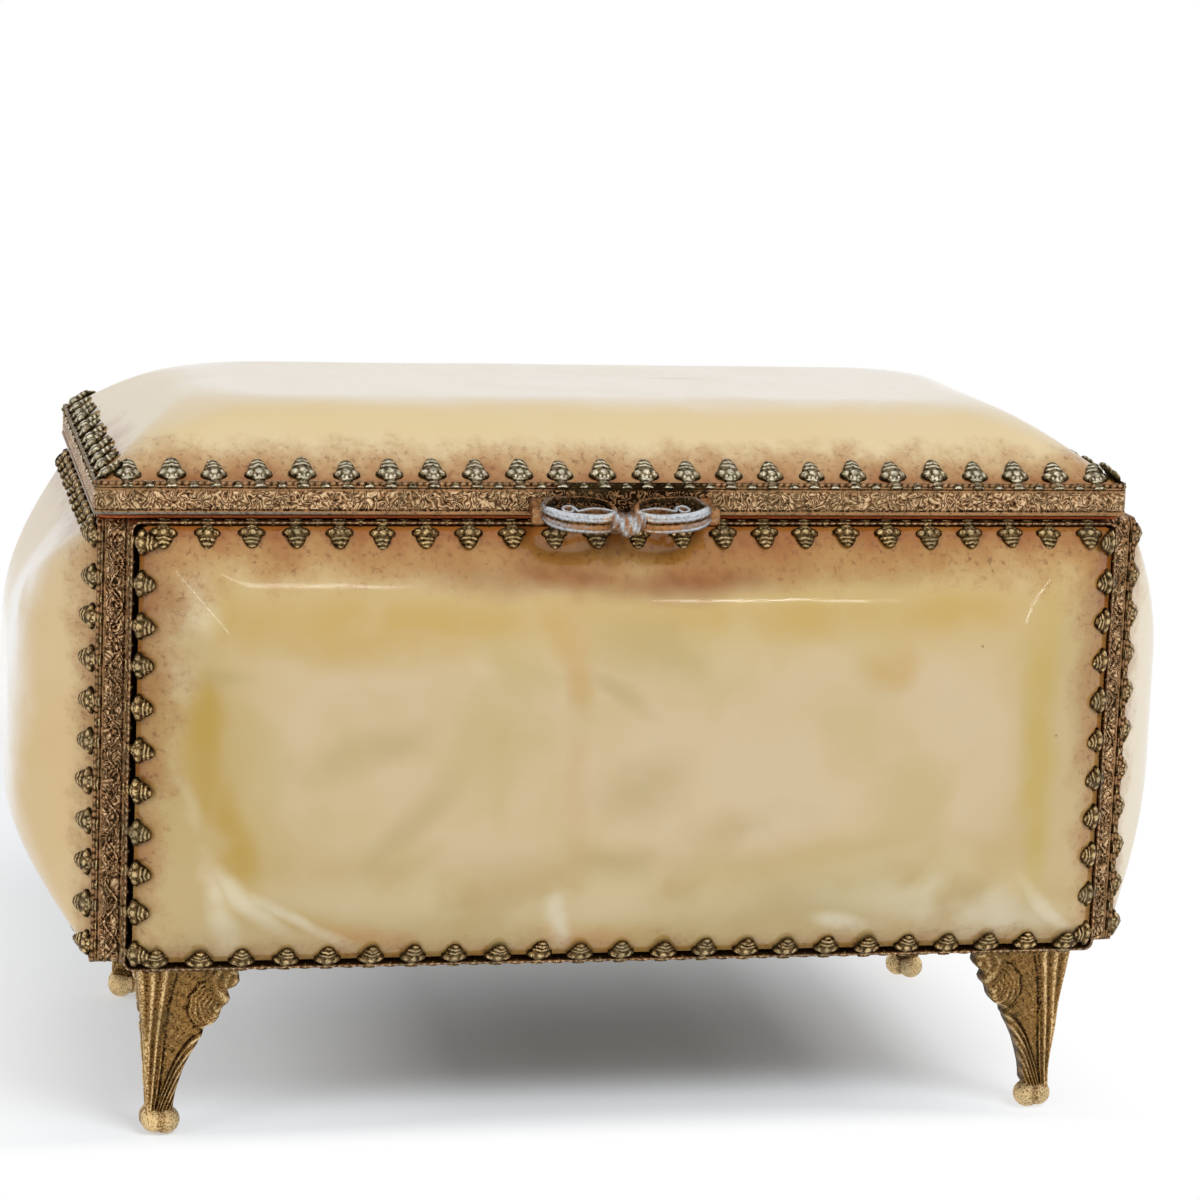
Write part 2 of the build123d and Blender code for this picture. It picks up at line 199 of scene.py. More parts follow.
# %% [markdown]
# ## Floor, light and background
# The box stands on a pale table in a white studio. A broad lamp above on the right,
# a weaker one on the left and the white walls light it evenly, and the floor keeps the soft grey
# shadow under the box. Four thin strip lights draw the bright lines on the acrylic. The camera and
# the gloss see a plain white world, and what falls on the box from it is about half as bright.

# %% Floor
floor_half = 1.6
floor_mesh = bpy.data.meshes.new("floor")
floor_mesh.from_pydata(
    [(x * floor_half, y * floor_half, 0) for x, y in ((-1, -1), (1, -1), (1, 1), (-1, 1))], [], [(0, 1, 2, 3)]
)
floor = bpy.data.objects.new("floor", floor_mesh)
bpy.context.scene.collection.objects.link(floor)
paper, tree, shader = new_material("white studio paper")
place = add(tree, "TexCoord").outputs["Object"]
grain = add(tree, "TexNoise", {"Vector": place, "Scale": 700.0, "Detail": 3.0})
shade = tint(tree, linear("#EAEFF4"), grain, "#EEF3F8")
fill(tree, shader, {"Base Color": shade, "Roughness": 0.9, "Specular IOR Level": 0.1})
# The photo's backdrop was whitened: the shadow ends just in front of the toes, soon on the right and slowly on the
# left. There, and far away, the floor glows plain white by its own emission, a painted light that cuts its shadow off,
# so that no edge of it shows
apart = add(tree, "SeparateXYZ", [place])
sideways = add(tree, "MapRange", [apart.outputs["X"], -0.15, 0.095])
shadow_stops = [
    (0.0, "#FFFFFF"), (0.25, "#CFCFCF"), (0.31, "#B3B3B3"), (0.42, "#939393"), (0.48, "#737373"), (0.54, "#303030"),
    (0.6, "#000000"), (0.7, "#000000"), (0.76, "#404040"), (0.82, "#919191"), (0.87, "#D4D4D4"), (0.96, "#FFFFFF"),
]
sideways = set_ramp(add(tree, "ValToRGB", [sideways]), shadow_stops)
in_front = add(tree, "MapRange", [apart.outputs["Y"], -0.028, -0.042], **SMOOTH)
distance = add(tree, "VectorMath LENGTH", [place])
far_away = add(tree, "MapRange", [distance, 0.12, 0.3], **SMOOTH)
floor_glow_mask = union(tree, [far_away, in_front, sideways])
white = add(tree, "Emission", {"Color": (1, 1, 1, 1), "Strength": 1.0})
mixed = add(tree, "MixShader", [floor_glow_mask, shader, white])
fill(tree, tree.nodes["Material Output"], {"Surface": mixed})
floor_mesh.materials.append(paper)
print("floor", 2 * floor_half, "m")

# %% World and lamps
world = bpy.data.worlds.new("studio")
bpy.context.scene.world = world
world.use_nodes = True
sky = world.node_tree
sky.nodes.clear()
rays = add(sky, "LightPath")
seen = union(sky, [rays.outputs[f"Is {kind} Ray"] for kind in ("Camera", "Glossy", "Transmission")])
level = add(sky, "Mix", {0: seen, 2: 0.52, 3: 1.0}, data_type="FLOAT")
room = add(sky, "Background", {"Color": (1, 1, 1, 1), "Strength": level})
add(sky, "OutputWorld", {"Surface": room})


def soft_lamp(name, place, target, size_x, size_y, power):
    """A rectangular studio softbox that looks at a point."""
    data = bpy.data.lights.new(name, "AREA")
    data.shape, data.size, data.size_y, data.energy = "RECTANGLE", size_x, size_y, power
    lamp = bpy.data.objects.new(name, data)
    lamp.location = place
    lamp.rotation_euler = (Vector(target) - Vector(place)).to_track_quat("-Z", "Y").to_euler()
    bpy.context.scene.collection.objects.link(lamp)
    return lamp


def line_lamp(name, start, end, width, power):
    """A strip light between two points that faces the box."""
    start, end = Vector(start), Vector(end)
    along, middle = (end - start).normalized(), (start + end) / 2
    back = middle - Vector((0, 0, 0.06))
    back = (back - along * back.dot(along)).normalized()
    lamp = soft_lamp(name, middle, (0, 0, 0), (end - start).length, width, power)
    lamp.rotation_euler = Matrix((along, back.cross(along), back)).transposed().to_euler()
    return lamp


key = soft_lamp("key_softbox", (0.36, -0.66, 0.88), (0, 0, 0.04), 0.55, 0.4, 7.6)
side_key = soft_lamp("left_softbox", (-0.85, -0.45, 0.4), (0, 0, 0.06), 0.4, 0.5, 2.4)
# The big boxes give light only. Thin strip lights draw the fine bright lines on the rolled shoulders
for lamp in (key, side_key):
    lamp.visible_glossy = False
line_lamp("top_line_light_a", (0.0, -0.613, 0.773), (0.109, -0.606, 0.764), 0.004, 0.035)
line_lamp("top_line_light_b", (0.205, -0.62, 0.64), (0.28, -0.61, 0.632), 0.004, 0.03)
line_lamp("left_line_light", (-0.56, -0.77, 0.31), (-0.4, -0.87, 0.18), 0.005, 0.06)
line_lamp("right_line_light", (0.51, -0.625, 0.606), (0.6, -0.741, 0.259), 0.005, 0.11)

# %% [markdown]
# ## Tools for meshes
# Each piece is worked out in its own handy frame and then put in the shared one, so that the finished
# object sits at the origin, unturned. `join_rings` skins a stack of closed rings of points: it makes
# the panels, the strips, the feet and the bow.


# %% Mesh tools
def make_piece(name, points, faces, place, material, body, marks=None, uv=None):
    """A mesh piece from points in millimetres. Marks are numbers kept at each point for the material."""
    mesh = bpy.data.meshes.new(name)
    moved = np.asarray(points, float) @ np.array(place.to_3x3()).T + np.array(place.translation)
    mesh.from_pydata((moved * MM).tolist(), [], faces)
    mesh.validate()
    for mark, values in (marks or {}).items():
        mesh.attributes.new(mark, "FLOAT", "POINT").data.foreach_set("value", np.asarray(values, np.float32))
    if uv is not None:
        corner = np.zeros(len(mesh.loops), np.int32)
        mesh.loops.foreach_get("vertex_index", corner)
        layer = mesh.uv_layers.new(name="sheet")
        layer.data.foreach_set("uv", np.asarray(uv, np.float32)[corner].ravel())
    mesh.polygons.foreach_set("use_smooth", [True] * len(mesh.polygons))
    mesh.materials.append(material)
    piece = bpy.data.objects.new(name, mesh)
    bpy.context.scene.collection.objects.link(piece)
    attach(piece, body)
    return piece


def smooth_step(value, low, high):
    """0 below the low value, 1 above the high one, and a smooth rise between them."""
    share = np.clip((value - low) / (high - low), 0, 1)
    return share * share * (3 - 2 * share)


def bell(value, middle, width):
    """A soft bump: 1 at its middle and nearly 0 two widths away."""
    return np.exp(-(((value - middle) / width) ** 2))


def wave(value, pitch):
    """Even waves from 0 to 1, with a top at 0."""
    return 0.5 + 0.5 * np.cos(2 * np.pi * value / pitch)


def join_rings(rings, closed=False, first=0):
    """Faces between rings of points that all have the same count. The ends are capped, or the last ring is
    joined to the first where the stack is closed."""
    count, faces = len(rings[0]), []
    for r in range(len(rings) - 1):
        low, high = first + r * count, first + (r + 1) * count
        for i in range(count):
            j = (i + 1) % count
            faces.append((low + i, low + j, high + j, high + i))
    last = first + (len(rings) - 1) * count
    if closed:
        return faces + [(last + i, last + (i + 1) % count, first + (i + 1) % count, first + i) for i in range(count)]
    return faces + [tuple(first + i for i in reversed(range(count))), tuple(last + i for i in range(count))]


def rounded_rectangle(width, height, radius, steps_across, steps_upright, corner_steps=6):
    """Points round a rectangle with rounded corners, anticlockwise from the bottom side's left end,
    with each point's outward direction and its distance along the way."""
    radius = min(radius, 0.499 * min(width, height))
    points, normals = [], []
    for quarter in range(4):
        side, other, steps = (width, height, steps_across) if quarter % 2 == 0 else (height, width, steps_upright)
        length, reach, turn = side - 2 * radius, other / 2, quarter * math.pi / 2
        c, s = math.cos(turn), math.sin(turn)
        for i in range(steps):
            x, y = -length / 2 + length * i / steps, -reach
            points.append((c * x - s * y, s * x + c * y))
            normals.append((s, -c))
        for i in range(corner_steps):
            angle = turn - math.pi / 2 + math.pi / 2 * i / corner_steps
            x = length / 2 + radius * math.cos(angle - turn)
            y = -reach + radius + radius * math.sin(angle - turn)
            points.append((c * x - s * y, s * x + c * y))
            normals.append((math.cos(angle), math.sin(angle)))
    points, normals = np.array(points), np.array(normals)
    gaps = np.linalg.norm(np.roll(points, -1, axis=0) - points, axis=1)
    along = np.concatenate([[0], np.cumsum(gaps)])
    return points, normals, along[:-1], along[-1]


print("tools ready")

# %% [markdown]
# ## Finish: pearl acrylic
# The panels were cut from cast acrylic sheet with pearl pigment in it, then heated and drawn over a
# form. The pigment lies in silky swirls, and yellow shows where the sheet was stretched most, on
# the rolled shoulders. Years of handling have left brown stains round the prongs. Acrylic has an index of
# 1.49 and a glossy skin. The swirls are noise that is bent by more noise, drawn on the sheet itself.


# %% Pigment in the sheet
cloud_stops = (0.28, 0.42, 0.52, 0.62, 0.76)


def soft_patch(tree, place, x, y, half_x, half_y, turn):
    """1 in the middle of a soft ellipse on the sheet and 0 outside it. Sizes are in millimetres."""
    ellipse = {"Location": (x, y, 0), "Rotation": (0, 0, math.radians(turn)), "Scale": (half_x, half_y, 1)}
    inside = add(tree, "Mapping", {"Vector": place, **ellipse}, vector_type="TEXTURE")
    size = add(tree, "VectorMath LENGTH", [inside])
    return add(tree, "MapRange", [size, 1.7, 0.2], **SMOOTH)


def push(tree, place, colour, amount):
    """Moves places about by a noise's colour, up to half the amount each way."""
    centred = add(tree, "VectorMath SUBTRACT", [colour, (0.5, 0.5, 0.5)])
    return add(tree, "VectorMath MULTIPLY_ADD", [centred, (amount, amount, amount), place])


def pearl_pigment(tree, sheet, moved, rim, tones_used, shoulder, patches):
    """The sheet's colour before any stain, with some painted light in its patches. Moved is the sheet's place for the
    swirls that no patch sets.
    """
    # Slow bends about 25 mm long push the finer swirls about
    bend = add(tree, "TexNoise", {"Vector": moved, "Scale": 4.0, "Detail": 2.0}).outputs["Color"]
    pushed = push(tree, moved, bend, 0.5)
    clouds = add(tree, "TexNoise", {"Vector": pushed, "Scale": 2.6, "Detail": 3.0, "Roughness": 0.45})
    tones = set_ramp(add(tree, "ValToRGB", [clouds]), list(zip(cloud_stops, tones_used)))
    # The stretched shoulder has its own colour, and its inner border wavers
    waver = add(tree, "TexNoise", {"Vector": moved, "Scale": 6.0, "Detail": 2.0})
    rim_wavy = add(tree, "Math MULTIPLY_ADD", [waver, 0.4, rim])
    band = add(tree, "MapRange", [rim_wavy, 0.22, 0.6], **SMOOTH)
    tones = tint(tree, tones, band, *shoulder)
    # Clouds at their own places, most of pigment and a few of painted light, with their borders pulled about by the
    # same bends
    spread = add(tree, "VectorMath MULTIPLY", [sheet, (100, 100, 100)])
    spread = push(tree, spread, bend, 7)
    fine = add(tree, "TexNoise", {"Vector": moved, "Scale": 14.0, "Detail": 3.0}).outputs["Color"]
    spread = push(tree, spread, fine, 2.2)
    for code, strength, ellipses in patches:
        mask = union(tree, [soft_patch(tree, spread, *ellipse) for ellipse in ellipses])
        tones = tint(tree, tones, mask, code, strength)
    # Silk: thin bright folds of pigment, some millimetres apart, that come and go
    winding = {"Vector": pushed, "Scale": 7.0, "Detail": 4.0, "Roughness": 0.5, "Distortion": 1.2}
    silk = add(tree, "TexNoise", winding, noise_type="RIDGED_MULTIFRACTAL")
    folds = add(tree, "MapRange", [silk, 1.1, 2.3])
    where = add(tree, "TexNoise", {"Vector": moved, "Scale": 2.6, "Detail": 1.0})
    some = add(tree, "MapRange", [where, 0.5, 0.75, 0.04, 0.5])
    wisps = add(tree, "Math MULTIPLY", [folds, some])
    return tint(tree, tones, wisps, "#DDD5BD")


print("a cloud is about", round(100 / 2.6), "mm across")


# %% Stains on the sheet
def old_stains(tree, tones, sheet, moved, rim, stain_reach):
    """Brown stains that crept in from the edge, in smears and specks, and how strong they are."""
    smear = add(tree, "TexNoise", {"Vector": sheet, "Scale": 16.0, "Detail": 6.0, "Roughness": 0.7})
    height = add(tree, "SeparateXYZ", [sheet]).outputs["Y"]
    low, high = stain_reach
    more = add(tree, "MapRange", [height, -0.3, 0.3, low, high], clamp=True)
    reach = add(tree, "Math MULTIPLY_ADD", [smear, 0.6, rim])
    reach = add(tree, "Math ADD", [reach, more])
    haze = add(tree, "MapRange", [reach, 1.0, 1.3, 0.0, 0.75], **SMOOTH)
    tones = tint(tree, tones, haze, "#9E7036")
    stain = add(tree, "MapRange", [reach, 1.22, 1.5, 0.0, 0.85], **SMOOTH)
    tones = tint(tree, tones, stain, "#884A12")
    specks = add(tree, "TexNoise", {"Vector": sheet, "Scale": 95.0, "Detail": 4.0, "Roughness": 0.7})
    specks = add(tree, "MapRange", [specks, 0.53, 0.68])
    specks = add(tree, "Math MULTIPLY", [specks, haze])
    tones = tint(tree, tones, specks, "#6E3E1E")
    # A few pits and scratches hold dark dust
    dust = add(tree, "TexVoronoi", {"Vector": moved, "Scale": 5.5, "Randomness": 1.0})
    dust = add(tree, "MapRange", [dust, 0.016, 0.005, 0.0, 0.7])
    return tint(tree, tones, dust, "#5E452C"), haze


print("a speck is about", round(100 / 95, 1), "mm across")


# %% Pearl acrylic
def pearl_acrylic(name, seed, tones_used, shoulder, stain_reach, patches=()):
    """Cast pearl acrylic. Seed moves the swirls, and tones_used are the pigment's five hex tones. Shoulder is the
    colour and strength of the stretched roll, stain_reach is how far in the stains come, below and above, and
    patches are clouds at their own places: colour, strength, ellipses."""
    material, tree, shader = new_material(name)
    sheet = add(tree, "UVMap", uv_map="sheet")
    moved = add(tree, "VectorMath ADD", [sheet, (seed, 0.37 * seed, seed)])
    rim = add(tree, "Attribute", attribute_name="rim").outputs["Fac"]
    tones = pearl_pigment(tree, sheet, moved, rim, tones_used, shoulder, patches)
    tones, haze = old_stains(tree, tones, sheet, moved, rim, stain_reach)
    # Fine scuffs from wiping change the gloss a little, and so does grime where the sheet is stained
    scuff = add(tree, "TexNoise", {"Vector": sheet, "Scale": 45.0, "Detail": 4.0})
    gloss = add(tree, "MapRange", [scuff, 0.3, 0.7, 0.035, 0.1])
    gloss = add(tree, "Math MULTIPLY_ADD", [haze, 0.03, gloss])
    # The drawn sheet isn't dead flat: slow ripples about 12 mm long and some hundredths of a millimetre deep
    ripple = add(tree, "TexNoise", {"Vector": moved, "Scale": 8.0, "Detail": 1.5})
    bump = add(tree, "Bump", {"Height": ripple, "Strength": 0.3, "Distance": 0.0004})
    fill(tree, shader, {
        "Base Color": tones, "IOR": 1.49, "Roughness": gloss, "Normal": bump, "Subsurface Weight": 0.1,
        "Subsurface Radius": (1.0, 0.8, 0.5), "Subsurface Scale": 0.0012,
    })
    return material


# Clouds on the front panel: place across and up from its middle, half sizes and turn
front_patches = [
    ("#B1924A", 0.7, [(-46, 18.3, 19, 4.2, -4), (-38, 20.6, 28, 3, 2), (19, 20.5, 17, 3, 0), (47, 21, 9, 2.6, 0)]),
    ("#AC8D3C", 0.95, [(-63, 5, 2.6, 17, -4), (-59.5, -12, 2.6, 9, 16), (-50, -25, 10, 2.6, -12)]),
    ("#B39A50", 0.85, [(61.5, -2, 2.8, 25, 0)]),
    ("#8E6E34", 0.45, [(71, 8, 3, 18, 0), (-71, 8, 2, 24, 0)]),
    ("#9A7A3C", 0.5, [(-10, -31.5, 60, 1.5, 0)]),
    ("#A08C55", 0.45, [
        (1, 16, 8, 4, -8), (-3, 9.5, 5, 1.5, -38), (-41, 1, 10, 3, 16), (-34, -10, 9, 2.2, 54), (-60, 12, 4.5, 1.5, 0),
        (31, -21, 14, 4.2, 8), (0, -5, 7, 4.5, 20), (-4, -16, 6, 2.6, 0), (17, -10, 9, 3, 10),
    ]),
    ("#B39048", 0.6, [(-11.4, 18, 2.0, 5.5, 32), (-9, 11, 1.8, 5, 5), (-4, -27, 11, 2.4, -12), (36, 13, 4, 3, 0)]),
    ("#B7986C", 0.4, [(-9.5, -4, 1.8, 30, 0)]),
    ("#B27C34", 0.55, [(-7, -27.5, 8, 2.2, -14), (-40, -28, 10, 1.8, -12)]),
    # Painted light: a pale band over the lower part, which faces a little down and gets less light
    ("#DDD0AA", 0.4, [(-15, -22, 46, 5, 0), (40, -20, 20, 5, 0)]),
    ("#DCD3B8", 0.6, [
        (-63, -17, 1.7, 13, 18), (-57, -22, 1.5, 11, 40), (-51, -24.5, 1.3, 10, 58), (-11, -23, 1.2, 7, 24),
        (54, -25, 14, 3.8, -14), (66, -27, 1.4, 8, 42), (33, -26.5, 5, 1.8, 0), (-66, 18, 4, 7, 0),
    ]),
    ("#7A4008", 0.95, [(2, 29.5, 36, 4.2, 0), (8, 26.4, 14, 2.8, 6), (-12, 27.4, 12, 2.4, -14)]),
]
lid_patches = [
    ("#C9B47E", 0.5, [(-20, -27, 70, 4, 0)]),
    ("#8A5428", 0.8, [(-74, -20, 1.6, 12, 0), (-62, -37.4, 9, 1.0, 0), (60, -37.4, 9, 1.0, 0)]),
]
# On the left panel a near-white patch is a painted reflection of the white room on its bulge
left_painted_reflection = [("#F1EFEB", 0.9, [(14, 12, 7, 20, 0)])]
# The front and the back were cut from one sheet. The end panels are nearly white in the middle, and the
# stretched roll round it is tan
front_tones, front_shoulder = ("#B39F6C", "#BAA67A", "#C1AC88", "#C2AE8C", "#CBBA9B"), ("#B59B62", 0.7)
end_tones = ("#DDD2BC", "#E2DACA", "#E8E2D8", "#E6DFD2", "#F0ECE4")
lid_tones = ("#CDBC9D", "#D1C3AA", "#D4C7B3", "#D0C0A4", "#DACFBD")
acrylic = {
    side: pearl_acrylic(f"cast pearl acrylic {side}", *rest)
    for side, *rest in (
        ("lid", 3.1, lid_tones, ("#CBB589", 0.85), (0.11, -0.1), lid_patches),
        ("front", 8.7, front_tones, front_shoulder, (-0.06, 0.165), front_patches),
        ("back", 14.2, front_tones, front_shoulder, (-0.1, 0.02)),
        ("left", 21.9, end_tones, ("#C8A45A", 0.75), (-0.1, 0.02), left_painted_reflection),
        ("right", 29.4, end_tones, ("#CDB98E", 0.6), (-0.1, 0.0)),
    )
}
print("acrylic", {side: len(m.node_tree.nodes) for side, m in acrylic.items()})

# %% [markdown]
# ## Panels
# Each panel is one drawn shell: an upright rim that stands on the ring's lip, a shoulder that rolls up
# like a quarter of a sine wave, and a flat top. It could be a subdivided box, but the corners
# would go soft. Rings of points that shrink towards the middle keep the roll's exact section and
# give every point its distance from the edge, which the material's stains follow.


# %% Panels
roll_steps, top_steps, panel_spacing = 16, 8, 1.6
panel_sag, sag_length = 0.22, 17
# The front panel was cut a little short, and it lies to the right and up in its ring
front_short = 0.6, 0.5
# The mark on the upright rim, beyond the roll's edge, which is 1
rim_mark = 1.15


def panel_rings(width, height, rise, roll, wall):
    """The rings of one face of a shell, from its edge to its middle, and how far in each one lies."""
    rings, rims = [], []
    for share in (i / roll_steps for i in range(roll_steps + 1)):
        climb = rise * math.pi / 2 * math.cos(math.pi / 2 * share)
        norm = math.hypot(climb, roll)
        inset = roll * share + wall * climb / norm
        level = rise * math.sin(math.pi / 2 * share) - wall * roll / norm
        rings.append((inset, level))
        rims.append(1 - share)
    last_inset, last_level = rings[-1]
    middle = 0.46 * min(width, height)
    for i in range(1, top_steps + 1):
        rings.append((last_inset + (middle - last_inset) * i / top_steps, last_level))
        rims.append(-i / top_steps)
    made = []
    for inset, level in rings:
        size_x, size_y = width - 2 * inset, height - 2 * inset
        corner = min(1.3 + 0.6 * inset, 0.46 * min(size_x, size_y))
        steps = round(width / panel_spacing), round(height / panel_spacing), 8
        flat = rounded_rectangle(size_x, size_y, corner, *steps)[0]
        made.append(np.column_stack([flat, np.full(len(flat), level)]))
    return made, rims


def drawn_panel(side):
    """A puffed acrylic panel in its ring."""
    width, height, band, rise, roll = RINGS[side]
    edge = 2 * (strip_thickness + panel_gap)
    shrink_x, shrink_y = front_short if side == "front" else (0, 0)
    width, height = width - edge - shrink_x, height - edge - shrink_y
    outer, rims = panel_rings(width, height, rise, roll, 0)
    inner, _ = panel_rings(width, height, rise, roll, panel_wall)
    depth = band - lip_thickness - edge_drop
    outer_foot, inner_foot = outer[0].copy(), inner[0].copy()
    outer_foot[:, 2] = inner_foot[:, 2] = -depth
    rings = outer[::-1] + [outer_foot, inner_foot] + inner
    marks = rims[::-1] + [rim_mark, rim_mark] + rims
    points = np.vstack(rings) + np.array([shrink_x / 2, shrink_y / 2, -edge_drop])
    rim = np.repeat(marks, len(outer[0]))
    # A hand-drawn sheet sinks unevenly by up to a fifth of a millimetre on its flat top
    inside = np.clip(1 - rim, 0, 1)
    for i, (x, y, z) in enumerate(points):
        sink = 0.5 + 0.5 * noise.noise(Vector((x / sag_length, y / sag_length, len(side))))
        points[i, 2] -= panel_sag * inside[i] * sink
    faces = [face[::-1] for face in join_rings(rings)]
    piece = make_piece(
        f"{side}_panel_drawn", points, faces, ring_frame(side), acrylic[side], body_of(side),
        marks={"rim": rim}, uv=points[:, :2] / 100,
    )
    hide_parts(f"{side}_panel")
    return piece


panels = {side: drawn_panel(side) for side in RINGS}
print("panel faces", {side: len(p.data.polygons) for side, p in panels.items()})

# %% [markdown]
# ## Finish: antique gilt on stamped brass strip
# Gallery strip is thin brass, rolled between dies that press its ornament, then gilded and
# toned with a brown wash. The wash stays in the hollows and is rubbed off the high points, and old
# handling wears the edges to a silvery grey. The material reads a mark called relief, 0 in the hollows
# and 1 on the tops, so that the tone follows the pressed shape.


# %% Patterns on the gilt
# Bosses on half a prong: across its middle line, along from its root, and radius, in millimetres
PRONG_BOSSES = ((0.0, 2.3, 0.62), (1.35, 2.25, 0.6), (0.0, 1.45, 0.36), (0.62, 1.65, 0.26))
ridge_pitch, boss_row = 0.66, 2.2


def wound_scrolls(tree, place, relief, strength):
    """Adds fine lines half a millimetre apart that wind like the level lines of a map."""
    hills = {"Vector": place, "Scale": 620.0, "Detail": 1.0, "Distortion": 0.7}
    turns = add(tree, "Math MULTIPLY", [add(tree, "TexNoise", hills), 46.0])
    rings = add(tree, "Math COSINE", [turns])
    field = add(tree, "Attribute", attribute_name="field").outputs["Fac"]
    depth = add(tree, "Math MULTIPLY", [field, 0.5 * strength])
    return add(tree, "Math MULTIPLY_ADD", [rings, depth, relief])


def prong_ornament(tree, place, relief):
    """Leaves the relief only on a prong's bosses and on the ridges of its stem and tip."""
    local = add(tree, "Attribute", attribute_name="local").outputs["Vector"]
    local = add(tree, "SeparateXYZ", [local])
    side = add(tree, "Math ABSOLUTE", [local.outputs["X"]])
    along = local.outputs["Y"]
    spot = add(tree, "CombineXYZ", [side, along])
    bosses = []
    for x, y, radius in PRONG_BOSSES:
        away = add(tree, "VectorMath DISTANCE", [spot, (x, y, 0)])
        bosses.append(add(tree, "MapRange", [away, radius, 0.45 * radius]))
    # The ridges waver, as each prong was bent by hand
    steps = add(tree, "Math MULTIPLY_ADD", [along, 2 * math.pi / ridge_pitch, -2.9])
    wander = add(tree, "TexNoise", {"Vector": place, "Scale": 750.0, "Detail": 1.0})
    steps = add(tree, "Math MULTIPLY_ADD", [wander, 5.0, steps])
    ridge = add(tree, "MapRange", [add(tree, "Math COSINE", [steps]), -0.5, 0.9])
    middle = add(tree, "Math SUBTRACT", [along, boss_row])
    middle = add(tree, "Math ABSOLUTE", [middle])
    clear = add(tree, "MapRange", [middle, 0.62, 0.8])
    ridge = add(tree, "Math MULTIPLY", [ridge, clear])
    shown = add(tree, "MapRange", {0: union(tree, bosses + [ridge]), 3: 0.22, 4: 1.0})
    return add(tree, "Math MULTIPLY", [relief, shown])


print("bosses on half a prong", len(PRONG_BOSSES))


# %% Antique gilt
def antique_gilt(
    name, tones_used, wear, grit, scrolls=0.0, prong=False, grain_size=0.53, patch_size=6.2, pitted=0.6
):
    """Toned gilt on pressed or cast brass. Tones_used are the hex tones of the hollows, the body, the tops and
    the bare metal. Wear is how much is worn, grit how gritty the skin is, and scrolls how deep the die's fine
    scrolls are. A prong has its bosses and ridges. Grain_size and patch_size are in millimetres, and pitted is
    how dark the pits are."""
    material, tree, shader = new_material(name)
    hollow, body, top, worn = tones_used
    place = add(tree, "TexCoord").outputs["Object"]
    relief = add(tree, "Attribute", attribute_name="relief").outputs["Fac"]
    if scrolls:
        relief = wound_scrolls(tree, place, relief, scrolls)
    if prong:
        relief = prong_ornament(tree, place, relief)
    # Grit of the die and of the old gilding
    skin = {"Vector": place, "Scale": 1000 / grain_size, "Detail": 3.0, "Roughness": 0.65}
    grain = add(tree, "TexNoise", skin)
    patch = add(tree, "TexNoise", {"Vector": place, "Scale": 1000 / patch_size, "Detail": 4.0, "Roughness": 0.6})
    mixed = add(tree, "Math MULTIPLY_ADD", [grain, grit, relief])
    mixed = add(tree, "Math SUBTRACT", [mixed, 0.5 * grit])
    tones = set_ramp(add(tree, "ValToRGB", [mixed]), [(0.1, hollow), (0.4, body), (0.62, body), (0.9, top)])
    # Patches where the gilding is duller or has gone to olive
    dull = add(tree, "MapRange", [patch, 0.42, 0.7, 0.0, 0.5])
    tones = tint(tree, tones, dull, "#6B5A3A")
    edge = add(tree, "Attribute", attribute_name="worn").outputs["Fac"]
    rub = add(tree, "Math MULTIPLY_ADD", [patch, 0.8, edge])
    rub = add(tree, "MapRange", [rub, 1.0 - wear, 1.5 - wear])
    high = add(tree, "MapRange", [mixed, 0.15, 0.5])
    rub = add(tree, "Math MULTIPLY", [rub, high])
    # Bare metal is darker in its own small hollows
    lit = add(tree, "MapRange", [mixed, 0.35, 1.0, 0.35, 1.0])
    bare = tint(tree, linear(hollow), lit, worn)
    tones = add(tree, "Mix", {0: rub, 6: tones, 7: bare}, data_type="RGBA")
    # Pits hold dark wash, also where the metal is worn bare
    pits = add(tree, "MapRange", [grain, 0.48, 0.36, 0.0, pitted])
    tones = tint(tree, tones, pits, hollow)
    rough = add(tree, "MapRange", [mixed, 0.1, 0.9, 0.6, 0.3])
    bump = add(tree, "Bump", {"Height": mixed, "Strength": 0.7, "Distance": 0.00022})
    fill(tree, shader, {"Base Color": tones, "Metallic": 1.0, "Roughness": rough, "Normal": bump})
    return material


strip_gilt = antique_gilt(
    "antique gilt on pressed strip", ("#2A1B0E", "#AC825A", "#F0D0A4", "#AEA698"), 0.35, 0.5, scrolls=0.7
)
# The lid's prongs face up to the lamps and the body's face out: the lid's gilt is painted lighter and the body's
# painted darker, lit and shaded copies, besides their own wear
lid_prong_gilt = antique_gilt(
    "antique gilt with painted light on the lid's prongs", ("#22180E", "#9A865E", "#FFF6DA", "#D4CCB4"), 0.3, 0.8,
    scrolls=0.5, prong=True,
)
prong_gilt = antique_gilt(
    "browned gilt with painted shade on the body's prongs", ("#1E150B", "#86683E", "#EACB92", "#B4A480"), 0.22, 0.8,
    scrolls=0.55, prong=True,
)
foot_gilt = antique_gilt(
    "antique gilt on cast feet", ("#241508", "#9C7643", "#F6D49A", "#C8B692"), 0.12, 1.7, grain_size=0.3, pitted=0.35
)
pull_gilt = antique_gilt(
    "worn gilt on the cast pull", ("#1C140E", "#B07C4E", "#E2D2B8", "#CCD0D4"), 0.45, 1.0,
    grain_size=0.4, patch_size=2.0, pitted=0.25,
)
print("gilt finishes made")

# %% [markdown]
# ## Strip
# The die presses four things along the strip: a row of beads and a double line beside the prongs, a
# running vine between them and the back, and a rolled edge. The vine repeats with the prongs. It could
# be a bump texture only, but real relief catches the lamps and shades itself, so the strip's outer
# face is a fine grid of points, each one moved by the height of the ornament there.


